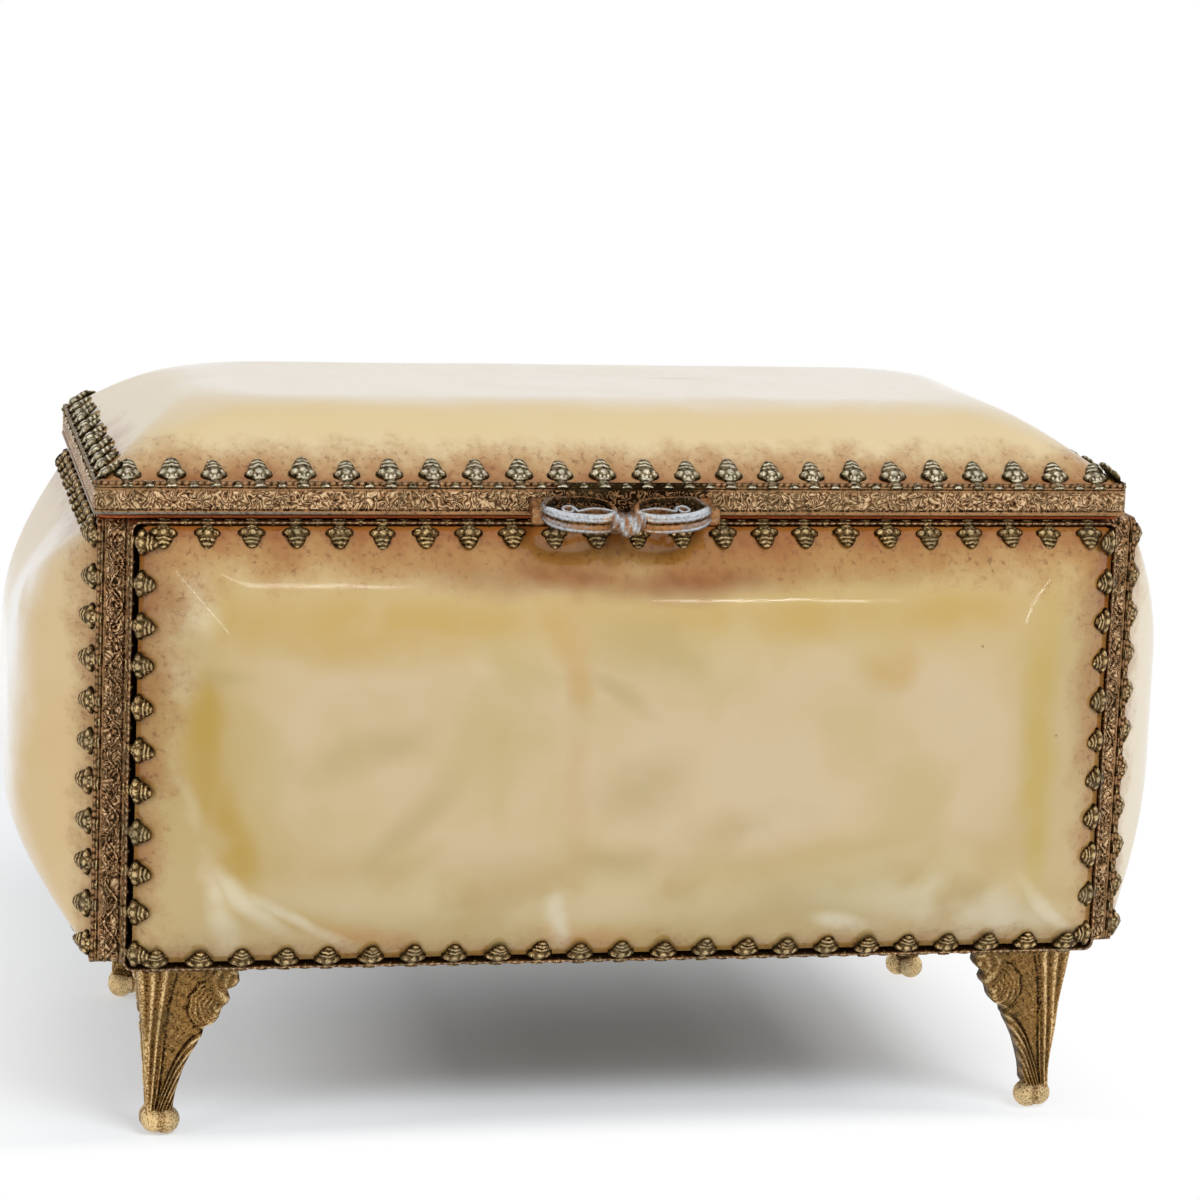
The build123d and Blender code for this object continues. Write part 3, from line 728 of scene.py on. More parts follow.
# %% Ornament of the strip
# Places across the strip, in millimetres from the prongs' roots: the bead row, the double line, the dark
# gaps beside its first line, and the near side of the vine's field
bead_row, double_line, dark_gaps, field_low, beads_per_pitch = 0.3, (0.74, 1.18), (0.53, 0.97), 1.35, 6
# Places counted back from the strip's far edge: the vine's far side, the step, and the rolled edge's middle
field_margin, step_margin, rolled_half = 0.72, 0.74, 0.34
# A curl's turns, how far it reaches, and how far it lies from the field's middle
curl_pitch, curl_reach, curl_off = 0.8, 1.15, 0.34


def strip_relief(along, across, band, pitch, vine_depth):
    """The pressed ornament at places along and across the strip, in millimetres: its height, its tone from 0
    in the hollows to 1 on the tops, and where the fine field lies."""
    beads = bell(across, bead_row, 0.2) * wave(along, pitch / beads_per_pitch)
    lines = bell(across, double_line[0], 0.12) + 0.8 * bell(across, double_line[1], 0.12)
    gaps = bell(across, dark_gaps[0], 0.1) + bell(across, dark_gaps[1], 0.1)
    low, high = field_low, band - field_margin
    middle, reach = (low + high) / 2, (high - low) / 2
    inside = 1 / (1 + np.exp(-(across - low) / 0.05)) / (1 + np.exp((across - high) / 0.05))
    # Engraved lines: a stem of two lines that winds along the strip, and a curl with a leaf in each bend
    turn = 2 * np.pi * along / pitch
    stem = middle + 0.12 + 0.6 * reach * np.sin(turn)
    slope = 0.6 * reach * 2 * np.pi / pitch * np.cos(turn)
    off = (across - stem) / np.hypot(1, slope)
    cut = bell(np.abs(off), 0.26, 0.11)
    for half in (-1, 1):
        ds = (along - pitch * (0.5 + 0.25 * half) + pitch / 2) % pitch - pitch / 2
        dt = across - (middle - curl_off * half * reach)
        radius, angle = np.hypot(ds, dt) + 1e-6, np.arctan2(-dt * half, ds)
        spiral = 0.5 + 0.5 * np.cos(2 * np.pi * radius / curl_pitch - angle)
        cut = np.maximum(cut, np.clip(1.7 * spiral - 0.7, 0, 1) * np.exp(-((radius / curl_reach) ** 6)))
        stroke = np.abs(dt * half - 0.55 * ds - 0.55) / 1.14
        cut = np.maximum(cut, 0.8 * bell(stroke, 0, 0.12) * np.exp(-(((ds - 0.9) / 0.8) ** 4)))
    cut = cut * (np.abs(off) > 0.1) * inside * vine_depth
    swell = inside * vine_depth * bell(off, 0, 0.2)
    rolled = np.sqrt(np.clip(1 - ((across - (band - rolled_half)) / rolled_half) ** 2, 0, 1))
    step = bell(across, band - step_margin, 0.09)
    height = 0.12 * beads + 0.08 * lines + 0.08 * inside - 0.12 * cut + 0.05 * swell + 0.2 * rolled - 0.06 * step
    tone = 0.12 + 0.75 * beads + 0.5 * lines - 0.3 * gaps + inside * (0.42 + 0.25 * swell) - 0.5 * cut
    return height, np.clip(tone + 0.42 * rolled - 0.45 * step, 0, 1), inside


print("strip ornament at 1 mm", np.round(strip_relief(np.arange(4.0), np.full(4, 2.5), 4.95, 6.3, 1.0)[0], 3))


# %% Pressed strip
# The section's inner side, from the far edge round the lip and back over the front edge: inset from the
# outer face, height, and how far the small beads of the front edge swell there
seat = strip_thickness + seat_lip


def strip_back(band):
    """The inner side of a strip's section."""
    return [
        (0.45, -band, 0), (seat, -band, 0), (seat, -band + lip_thickness, 0),
        (strip_thickness, -band + lip_thickness, 0), (strip_thickness, -0.3, 0), (0.5, -0.05, 0.1),
        (0.33, 0.0, 0.16), (0.16, -0.02, 0.1),
    ]


def pressed_strip(side, fine, vine_depth):
    """One ring of strip: a closed band with its inner lip, on which the panel's rim stands."""
    width, height, band, _, _ = RINGS[side]
    steps = round(width / fine), round(height / fine), 10
    path, normal, along, total = rounded_rectangle(width, height, bend_radius, *steps)
    pitch = total / round(total / prong_pitch)
    across = np.linspace(0.04, band - 0.02, max(12, round(band / 0.19)) + 1)
    rings, tones, wears, fields = [], [], [], []
    # The lid's strip is darkened behind the pull: partly old dirt, partly the pull's shade painted on
    soot_and_shade = np.zeros(len(path))
    if side == "lid":
        soot_and_shade = (path[:, 1] < -30) / (1 + np.exp((np.abs(path[:, 0] - 0.8) - 11.5) / 0.8))
    for t in across:
        lift, tone, field = strip_relief(along, np.full(len(along), t), band, pitch, vine_depth)
        # The relief is pressed in from the strip's true face, so the ring keeps its outer size
        rings.append(np.column_stack([path + normal * (lift - 0.2)[:, None], np.full(len(path), -t)]))
        rolled_edge = t > band - 0.5
        tones.append(tone * (1 - (0.3 if rolled_edge else 0.8) * soot_and_shade))
        # The lid's rolled edge is bare and silvery on the left, and still coppery on the right
        bare = 0.8 - 0.6 * smooth_step(path[:, 0], -55, -25) if side == "lid" else 0.5
        wears.append((bare if rolled_edge else 0.1) + np.zeros(len(path)) - 0.1 * soot_and_shade)
        fields.append(field)
    # The front edge is a row of small beads
    bead = wave(along, pitch / beads_per_pitch)
    for inset, z, swell in strip_back(band):
        flat = path - normal * min(inset, bend_radius)
        if inset > bend_radius:
            flat = np.sign(path) * np.minimum(np.abs(path), np.array([width / 2 - inset, height / 2 - inset]))
        rings.append(np.column_stack([flat, z + swell * (bead - 0.6)]))
        tones.append(np.clip(0.15 + 5.0 * swell * bead, 0, 0.95))
        wears.append(np.full(len(path), (0.9 if side == "lid" else 0.35) if swell else 0.1))
        fields.append(np.zeros(len(path)))
    marks = {"relief": np.concatenate(tones), "worn": np.concatenate(wears), "field": np.concatenate(fields)}
    return np.vstack(rings), [face[::-1] for face in join_rings(rings, closed=True)], marks


print("points of the strip's inner side", len(strip_back(wide_band)))

# %% Strips
# Each ring: how far its points are apart, and how deep its vine is pressed
STRIP_GRAINS = {"lid": (0.25, 0.25), "front": (0.3, 0.6), "back": (0.3, 0.6), "left": (0.22, 1.0), "right": (0.22, 1.0)}
for side, (fine, vine_depth) in STRIP_GRAINS.items():
    points, faces, marks = pressed_strip(side, fine, vine_depth)
    make_piece(
        f"{side}_strip", points, faces, ring_frame(side), strip_gilt, body_of(side), marks=marks
    )

# %% [markdown]
# ## Prongs and teeth
# A prong is a stem with a lobed head: two side lobes round a boss, and a ridged tip. A workman folds
# each one down over the panel, so no two lie quite alike. Between two prongs the strip has a small
# tooth. One prong and one tooth are shaped here with few faces, as there are hundreds, and each point
# keeps its own place on the prong, from which the finish draws the bosses' fine edges. A Geometry
# Nodes tree sets them round each ring.


# %% One prong and one tooth
# Across a shape: place as a share of its half width
lobe_shares = (-1, -0.93, -0.55, 0, 0.55, 0.93, 1)
LOBE_MARKS = (("relief", 1.0), ("worn", 0.55))


def lobed_shape(name, rows, edge):
    """A small closed shape from rows across it: place along it, half width, and heights at the sides and the
    middle."""
    points, tones = [], []
    for y, half, side_high, high in rows:
        for share, z in zip(lobe_shares, (0.0, edge, side_high, high, side_high, edge, 0.0)):
            points.append((share * half, y, min(z, high + 0.1)))
            # The points at the foot of each side are darkened, and the edge points half so: a painted shade where the
            # prong lies on the panel
            tones.append(0.15 if z == 0 else (0.5 if z == edge else 1.0))
    count, faces = len(lobe_shares), []
    last = (len(rows) - 1) * count
    for a in range(0, last, count):
        faces += [(a + i, a + count + i, a + count + i + 1, a + i + 1) for i in range(count - 1)]
    faces.append(tuple(range(count)))
    faces.append(tuple(reversed(range(last, last + count))))
    faces.append(tuple(range(last, -1, -count)) + tuple(range(count - 1, last + count, count)))
    mesh = bpy.data.meshes.new(name)
    mesh.from_pydata([tuple(v * MM for v in p) for p in points], [], [f[::-1] for f in faces])
    for mark, factor in LOBE_MARKS:
        values = np.array(tones, np.float32) * factor
        mesh.attributes.new(mark, "FLOAT", "POINT").data.foreach_set("value", values)
    mesh.attributes.new("field", "FLOAT", "POINT").data.foreach_set("value", np.ones(len(points), np.float32))
    own_place = mesh.attributes.new("local", "FLOAT_VECTOR", "POINT")
    own_place.data.foreach_set("vector", np.array(points, np.float32).ravel())
    # The last three faces close the ends and the flat underside
    mesh.polygons.foreach_set("use_smooth", [True] * (len(mesh.polygons) - 3) + [False] * 3)
    return bpy.data.objects.new(name, mesh)


prong_rows = [
    (0.0, 0.95, 0.4, 0.45), (0.4, 0.9, 0.5, 0.6), (1.0, 0.74, 0.42, 0.5), (1.4, 0.95, 0.5, 0.6),
    (1.65, 1.7, 0.65, 0.75), (2.0, 2.08, 0.8, 0.95), (2.5, 2.02, 0.78, 0.95), (2.85, 1.5, 0.6, 0.75),
    (3.2, 1.42, 0.64, 0.84), (3.65, 1.25, 0.58, 0.8), (4.1, 1.0, 0.5, 0.72), (4.5, 0.66, 0.42, 0.6),
    (4.75, 0.25, 0.28, 0.4),
]
tooth_rows = [(0.03, 0.85, 0.3, 0.3), (0.4, 0.72, 0.5, 0.6), (0.75, 0.42, 0.42, 0.55), (1.1, 0.12, 0.2, 0.25)]
prong_shape = lobed_shape("prong_shape", prong_rows, 0.36)
tooth_shape = lobed_shape("tooth_shape", tooth_rows, 0.22)
print("prong faces", len(prong_shape.data.polygons), "tooth faces", len(tooth_shape.data.polygons))


# %% Geometry Nodes tree that sets prongs round a ring
TREE_INPUTS = {
    "Float": (
        "Ring Width", "Ring Height", "Gap Across", "Gap Upright", "Pitch", "Fold Angle", "Root Level",
        "Bare Middle", "Bare Half", "Length",
    ),
    "Object": ("Prong", "Tooth"),
    "Int": ("Seed",),
    "Material": ("Metal",),
}
# How far a prong may lie off its place, in radians, and the spread of its size. A tooth turns half as far
turn_low, turn_high = (-0.07, -0.06, -0.07), (0.05, 0.06, 0.07)
size_spread = {"Min": (0.95, 0.94, 0.92), "Max": (1.03, 1.02, 1.06)}


def clear_middle(tree, line, given):
    """Takes away the points behind the hinges, which stand at the same distance on both sides of the middle."""
    x = add(tree, "SeparateXYZ", [add(tree, "GeometryNodeInputPosition")])
    size = add(tree, "Math ABSOLUTE", [x])
    off = add(tree, "Math SUBTRACT", [size, given["Bare Middle"]])
    near = add(tree, "Math ABSOLUTE", [off])
    bare = add(tree, "Math LESS_THAN", [near, given["Bare Half"]])
    return add(tree, "GeometryNodeDeleteGeometry", {"Geometry": line, "Selection": bare})


def fold_prongs_tree():
    """Builds the tree once. Its inputs are the ring's sizes, the fold and the shapes to set."""
    tree = bpy.data.node_groups.new("fold prongs round a ring", "GeometryNodeTree")
    for kind, names in TREE_INPUTS.items():
        for name in names:
            tree.interface.new_socket(name, in_out="INPUT", socket_type="NodeSocket" + kind)
    tree.interface.new_socket("Geometry", in_out="OUTPUT", socket_type="NodeSocketGeometry")
    given = add(tree, "NodeGroupInput").outputs
    shapes = {
        name: add(tree, "GeometryNodeObjectInfo", {"Object": given[name]}).outputs["Geometry"]
        for name in TREE_INPUTS["Object"]
    }
    joined = add(tree, "GeometryNodeJoinGeometry")
    parts = []
    for quarter in range(4):
        length, across, gap = (
            ("Ring Width", "Ring Height", "Gap Across") if quarter % 2 == 0
            else ("Ring Height", "Ring Width", "Gap Upright")
        )
        gaps = add(tree, "Math MULTIPLY", [given[gap], 2.0])
        span = add(tree, "Math SUBTRACT", [given[length], gaps])
        ratio = add(tree, "Math DIVIDE", [span, given["Pitch"]])
        steps = add(tree, "Math ROUND", [ratio])
        step = add(tree, "Math DIVIDE", [span, steps])
        reach = add(tree, "Math MULTIPLY", [given[across], -0.5])
        # A row of prongs starts at the gap, and the teeth stand half a step on, one fewer of them
        for shape, ahead, extra, own_salt, amount in (("Prong", 0.0, 1.0, 0.0, 1.0), ("Tooth", 0.5, 0.0, 3.0, 0.5)):
            lead = add(tree, "Math MULTIPLY", [step, ahead])
            start = add(tree, "Math MULTIPLY_ADD", [span, -0.5, lead])
            count = add(tree, "Math ADD", [steps, extra])
            first = add(tree, "CombineXYZ", [start, reach, given["Root Level"]])
            apart = add(tree, "CombineXYZ", [step])
            line = add(tree, "GeometryNodeMeshLine", {"Count": count, "Start Location": first, "Offset": apart})
            if quarter == 2:
                line = clear_middle(tree, line, given)
            salt = add(tree, "Math ADD", [given["Seed"], 7.0 * quarter + own_salt])
            low, high = (tuple(amount * v for v in limits) for limits in (turn_low, turn_high))
            chance = {"Min": low, "Max": high, "Seed": salt}
            turn = add(tree, "FunctionNodeRandomValue", chance, data_type="FLOAT_VECTOR")
            fold = add(tree, "CombineXYZ", [given["Fold Angle"]])
            lie = add(tree, "VectorMath ADD", [fold, turn])
            lie = add(tree, "FunctionNodeEulerToRotation", [lie])
            chance = {**size_spread, "Seed": salt}
            size = add(tree, "FunctionNodeRandomValue", chance, data_type="FLOAT_VECTOR")
            length_only = add(tree, "CombineXYZ", [1.0, given["Length"], 1.0])
            size = add(tree, "VectorMath MULTIPLY", [size, length_only])
            lying = {"Points": line, "Instance": shapes[shape], "Rotation": lie, "Scale": size}
            placed = add(tree, "GeometryNodeInstanceOnPoints", lying)
            way = (0, 0, quarter * math.pi / 2)
            parts.append(add(tree, "GeometryNodeTransform", {"Geometry": placed, "Rotation": way}))
    for part in parts:
        fill(tree, joined, {0: part})
    real = add(tree, "GeometryNodeRealizeInstances", {"Geometry": joined})
    painted = add(tree, "GeometryNodeSetMaterial", {"Geometry": real, "Material": given["Metal"]})
    add(tree, "NodeGroupOutput", {"Geometry": painted})
    return tree


fold_prongs = fold_prongs_tree()
print("tree nodes", len(fold_prongs.nodes))


# %% Set the prongs round each ring
def run_tree(name, tree, values, place, body):
    """Runs a Geometry Nodes tree with the given inputs and keeps its result as a plain mesh piece."""
    holder = bpy.data.objects.new("holder", bpy.data.meshes.new("holder"))
    bpy.context.scene.collection.objects.link(holder)
    modifier = holder.modifiers.new("tree", "NODES")
    modifier.node_group = tree
    sockets = {s.name: s.identifier for s in tree.interface.items_tree if s.in_out == "INPUT"}
    for label, value in values.items():
        modifier[sockets[label]] = value
    bpy.context.view_layer.update()
    graph = bpy.context.evaluated_depsgraph_get()
    mesh = bpy.data.meshes.new_from_object(holder.evaluated_get(graph), depsgraph=graph)
    mesh.name = name
    bpy.data.objects.remove(holder)
    scaled = place.copy()
    scaled.translation = place.translation * MM
    mesh.transform(scaled)
    piece = bpy.data.objects.new(name, mesh)
    bpy.context.scene.collection.objects.link(piece)
    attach(piece, body)
    return piece


# How far the first prong stands from a corner, how high the prongs' roots sit on the roll, and the places on
# the back ring that the hinges keep clear: their middle and half width
corner_gaps, root_lift, hinge_place, hinge_half = (4.8, 3.0), 0.08, 38.0, 8.15
for number, side in enumerate(RINGS):
    width, height, band, rise, roll = RINGS[side]
    slope = rise * math.pi / 2 / roll
    root_level = -edge_drop - (strip_thickness + panel_gap) * slope + root_lift
    values = {
        "Ring Width": width, "Ring Height": height, "Gap Across": corner_gaps[0], "Gap Upright": corner_gaps[1],
        "Pitch": prong_pitch, "Root Level": root_level, "Bare Middle": hinge_place,
        "Bare Half": hinge_half if side == "back" else -1.0,
    }
    values = {name: value * MM for name, value in values.items()} | {
        "Fold Angle": math.atan(slope), "Length": 1.16 if side == "lid" else 0.98, "Prong": prong_shape,
        "Tooth": tooth_shape, "Seed": 11 * number + 5, "Metal": lid_prong_gilt if side == "lid" else prong_gilt,
    }
    run_tree(f"{side}_prongs", fold_prongs, values, ring_frame(side), body_of(side))
    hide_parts(f"{side}_frame")

# %% [markdown]
# ## Feet
# Each foot is a hollow casting with two wings that meet under the box's corner. The wings' inner edges
# are three scallops with grooves round them, and long flutes run down the outer side. It ends in a toe of
# two balls with a tongue between them. A level section of the foot is an L with a round corner, so the
# foot is a stack of such sections. The grooves move each point of the outer face and give its tone.

# %% Relief of a foot
foot_lean, foot_wall, foot_corner = 1.8, 3.4, 0.7
# Inner edge of a wing, from the toe up: level as a share of the height, and reach in millimetres
wing_edge = [
    (0.04, 3.7), (0.10, 4.9), (0.16, 5.9), (0.2, 6.0), (0.25, 6.2), (0.33, 6.8), (0.41, 7.5), (0.48, 8.4),
    (0.53, 9.2), (0.56, 9.5), (0.58, 9.9), (0.62, 10.1), (0.638, 10.3), (0.655, 11.7), (0.69, 12.3),
    (0.73, 12.6), (0.752, 12.9), (0.768, 13.5), (0.80, 13.9), (0.83, 13.6), (0.852, 13.4), (0.868, 14.6),
    (0.90, 15.2), (0.94, 15.1), (0.97, 14.8), (1.0, 14.7),
]
# The scallops: middle of each one's grooves, inwards in millimetres and up as a share, their pitch and reach
scallops = ((11.4, 0.66, 0.62, 2.0), (12.2, 0.755, 0.7, 4.6), (14.6, 0.9, 1.5, 4.4))
edge_levels, edge_reach = np.array(wing_edge).T


def foot_relief(inwards, level, reach):
    """Height and tone of the cast ornament on a wing: flutes down its outer side, grooves round each scallop, a
    scrolled leaf below them, and a bright raised edge. Between them the ground has low ripples."""
    share = level / foot_height
    # The border of the flutes, and the leaf's upper edge
    border = np.interp(share, [0.1, 0.25, 0.4, 0.6, 0.8, 1.0], [3.0, 3.7, 4.1, 4.4, 5.0, 6.2])
    leaf_top = np.interp(inwards, [3.2, 4.2, 5.2, 6.2, 7.4, 8.6, 9.8], [0.12, 0.25, 0.35, 0.44, 0.51, 0.56, 0.58])
    outer = 0.3 + 1.5 * (1 - share)
    flute = (inwards - outer) / np.maximum(border - outer, 0.8)
    flutes = wave(3.0 * flute + 0.2 * np.sin(6 * share), 1)
    waves = 0.5 + 0.12 * np.sin(2.1 * inwards + 3.3 * level) + 0.1 * np.sin(5.3 * inwards - 2.9 * level)
    for centre_x, centre_share, pitch, wide in scallops:
        away = np.hypot(inwards - centre_x, level - centre_share * foot_height)
        away = away + 0.14 * np.sin(1.9 * inwards + 2.4 * level)
        groove = 0.62 + 0.38 * np.cos(2 * np.pi * away / pitch)
        near = smooth_step(wide - away, -0.3, 0.5)
        waves = waves * (1 - near) + groove * near
        # A dark line closes each set of grooves
        waves = waves - 0.5 * bell(away, wide, 0.22)
    in_field = smooth_step(inwards - border, -0.2, 0.2)
    waves = flutes * (1 - in_field) + waves * in_field
    below = (leaf_top - share) * foot_height
    leaf = wave(below - 0.2, 1.35)
    in_leaf = smooth_step(below, -0.35, 0.1) * smooth_step(inwards, 3.2, 3.8)
    waves = waves * (1 - in_leaf) + leaf * in_leaf
    line = bell(inwards, border, 0.2) * (1 - in_leaf)
    line = np.maximum(line, bell(below, -0.5, 0.25) * smooth_step(inwards, 3.4, 4.2))
    rim = bell(reach - inwards, 0.6, 0.4) * smooth_step(share, 0.15, 0.3)
    height = 0.36 * waves - 0.25 * line + 0.12 * rim
    tone = 0.1 + 0.62 * waves - 0.5 * line + 0.3 * rim + 0.14 * (1 - in_field)
    return height, np.clip(tone, 0, 1)


print("scallops", len(scallops), "reach at the top", edge_reach[-1])


# %% Sections of a foot and its toe
foot_rows, wing_columns, foot_start = 104, 56, 1.5
# Where the outer corners of the feet stand
foot_x, foot_y = 71.7, 36.3
# The toe's two balls and the tongue between them: middle and radius
TOE_BALLS = (((1.0, -0.75, -0.1), 2.1), ((-0.75, 1.0, -0.1), 2.1), ((-0.7, -0.7, 0.0), 2.0))
toe_middle, toe_rows, toe_columns = (3.95, 3.95, 2.25), 18, 40
# Each foot: its turn in degrees and the signs of its corner
FEET = {"front_left": (0, -1, -1), "front_right": (90, 1, -1), "back_right": (180, 1, 1), "back_left": (270, -1, 1)}


def toe_reach(direction):
    """How far the toe reaches from its middle in a direction."""
    best = 0.0
    for centre, radius in TOE_BALLS:
        c = np.array(centre)
        along = float(direction @ c)
        best = max(best, along + math.sqrt(max(0.0, radius**2 - float(c @ c) + along**2)))
    return best


def foot_section(level):
    """One level section of a foot, an L with a round corner, and its tones."""
    share, along = level / foot_height, np.linspace(0, 1, wing_columns)
    reach = float(np.interp(share, edge_levels, edge_reach))
    climb = min(1.0, max(0.0, (share - 0.12) / 0.88)) ** 0.9
    lean = foot_lean * math.cos(math.pi / 2 * climb)
    # One wing's outer face from its tip to the corner
    run = lean + foot_corner + (reach - lean - foot_corner) * (1 - along)
    lift, tone = foot_relief(run, np.full(len(run), level), reach)
    fade = np.clip((run - lean) / 1.2, 0.3, 1) * np.clip((reach - run) / 0.2, 0, 1)
    # The edge of the wing is rounded over, and the scallops stand a little proud
    turned = np.sqrt(np.clip(1 - ((run - (reach - 0.8)) / 0.8) ** 2, 0, 1))
    tip = np.where(run > reach - 0.8, turned, 1.0)
    out = lean + 0.62 - 0.55 * tip - (lift - 0.34) * fade
    middle = out[-1]
    bend = [
        (lean + foot_corner * (1 - math.sin(a)), middle + (lean + foot_corner - middle) * (1 - math.cos(a)))
        for a in (0.5, math.pi / 4, 1.07)
    ]
    inside = min(lean + min(foot_wall, 0.86 * (reach - lean)), reach - 0.3)
    halfway = (inside + reach) / 2
    back = [
        (inside, reach), (inside, halfway), (inside + 0.02, inside + 0.4), (inside + 0.4, inside + 0.02),
        (halfway, inside), (reach, inside),
    ]
    outline = list(zip(run, out)) + bend + list(zip(out, run))[::-1] + back
    tones = np.concatenate([tone, [0.7] * len(bend), tone[::-1], [0.15] * len(back)])
    return np.array([(x, y, level) for x, y in outline]), tones


def toe_rings():
    """The toe: two balls side by side, one under each wing, with a crease where they meet."""
    rings, tones = [], []
    for i in range(toe_rows):
        polar = math.pi * (i + 0.3) / (toe_rows - 0.4)
        ring = []
        for k in range(toe_columns):
            angle = 2 * math.pi * k / toe_columns
            way = (math.sin(polar) * math.cos(angle), math.sin(polar) * math.sin(angle), -math.cos(polar))
            place = np.array(toe_middle) + np.array(way) * toe_reach(np.array(way))
            ring.append((place[0], place[1], max(0.0, place[2])))
            turns = (0.25 * math.pi, 0.97 * math.pi, 1.53 * math.pi)
            crease = min(abs(math.remainder(angle - a, 2 * math.pi)) for a in turns)
            tones.append(0.52 + 0.38 * min(1.0, 3.0 * crease))
        rings.append(np.array(ring))
    return rings, tones


print("points in a section", len(foot_section(foot_height)[0]))


# %% Cast the feet
def cast_foot(name):
    """A foot with its outer corner over the origin and its wings along +X and +Y, then put in its corner."""
    turn, side_x, side_y = FEET[name]
    levels = np.linspace(foot_start, foot_height, foot_rows)
    sections, section_tones = zip(*(foot_section(level) for level in levels))
    toe, toe_tones = toe_rings()
    points, tone = np.vstack(sections + tuple(toe)), np.concatenate(section_tones + (toe_tones,))
    toe_start = len(sections) * len(sections[0])
    faces = [face[::-1] for face in join_rings(sections)] + join_rings(toe, first=toe_start)
    place = Matrix.Translation((side_x * foot_x, side_y * foot_y, 0)) @ Matrix.Rotation(math.radians(turn), 4, "Z")
    marks = {"relief": tone, "worn": np.where(np.arange(len(points)) >= toe_start, 0.6, 0.08)}
    piece = make_piece(f"{name}_foot_cast", points, faces, place, foot_gilt, "body", marks=marks)
    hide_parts(f"{name}_foot")
    return piece


feet = [cast_foot(name) for name in FEET]
print("foot faces", [len(f.data.polygons) for f in feet])

# %% [markdown]
# ## Lid pull
# The pull is a cast bow: two open loops like a tied ribbon, a knot that dips in the middle, and a lug
# at each end that is riveted to the lid's strip. A ribbon has one cross-section that is swept along each
# loop, so each loop is a ring of such sections, thick in front and thinner behind.


# %% Sections of the bow
def rounded(value, power):
    """A cosine or sine with its curve flattened, which turns a circle to a rounded square."""
    return math.copysign(abs(value) ** power, value)


# Two sections: side and height as shares of the half sizes, then the tone and how bare the metal is.
# A strap has a broad rounded top, a sunk face and a lip below, and its tones are light on top and dark underneath, a
# painted light from above. A bar is a plain round.
STRAP = [
    (-1, -0.9, 0.15, 0.2), (-1, 0.2, 0.2, 0.2), (-0.95, 0.75, 0.45, 0.5), (-0.65, 0.96, 0.9, 0.9),
    (-0.35, 1.0, 0.6, 0.6), (-0.05, 1.0, 1.1, 1.0), (0.3, 0.92, 1.15, 1.0), (0.6, 0.76, 1.0, 0.9),
    (0.82, 0.55, 0.7, 0.6), (0.96, 0.36, 0.9, 0.8), (1.0, 0.12, 0.3, 0.3), (0.7, 0.0, 0.05, 0.0),
    (0.64, -0.3, 0.6, 0.25), (0.66, -0.6, 0.45, 0.2), (0.95, -0.74, 0.85, 0.7), (0.9, -1.0, 0.4, 0.5),
    (-0.5, -1.0, 0.15, 0.2),
]
BAR = []
for angle in (2 * math.pi * k / 16 for k in range(16)):
    upper = max(0.0, math.sin(angle))
    place = rounded(math.cos(angle), 0.7), rounded(math.sin(angle), 0.7)
    # A bar is painted lighter on its upper half, a painted light from above, and its metal is barer there
    BAR.append((*place, 0.35 + 0.6 * upper, 0.25 + 0.5 * upper))
print("points in a strap's section", len(STRAP), "and in a bar's", len(BAR))

# %% Loops, scrolls, knot and lugs
loop_steps, scroll_steps, knot_steps = 72, 26, 33
# How far the loops, the scroll and the knot stand in front of the strip
loop_front, scroll_front, knot_front = 3.55, 3.5, 3.65
# A loop's middle and its half width, half depth and drop
loop_middle, loop_half, loop_depth, loop_drop = 6.9, 5.3, 2.75, 2.75


def sweep(centres, acrosses, halves, section, closed=False, fold=None, shade=None, bared=None):
    """A bar of a section along a line of centres in millimetres. Acrosses are its level side directions, and
    halves are its half width and half height. Fold gives how much each point stands out, shade dulls a ring,
    and bared makes its metal barer."""
    rings, tones, worn = [], [], []
    shade, bared = shade or [1.0] * len(centres), bared or [0.0] * len(centres)
    for i, (centre, across, (wide, high)) in enumerate(zip(centres, acrosses, halves)):
        ring = []
        for c, s, tone, bare in section:
            out = fold(i, math.atan2(s, c)) if fold else 1.0
            x, y = (centre[n] + across[n] * wide * c * out for n in (0, 1))
            ring.append((x, y, centre[2] + high * s * out))
            tones.append(tone * shade[i] if not fold else 0.62 + 4.0 * (out - 1))
            worn.append(bare * shade[i] + bared[i] if not fold else 0.5 + 4.0 * (out - 1))
        rings.append(np.array(ring))
    return np.vstack(rings), join_rings(rings, closed), tones, worn


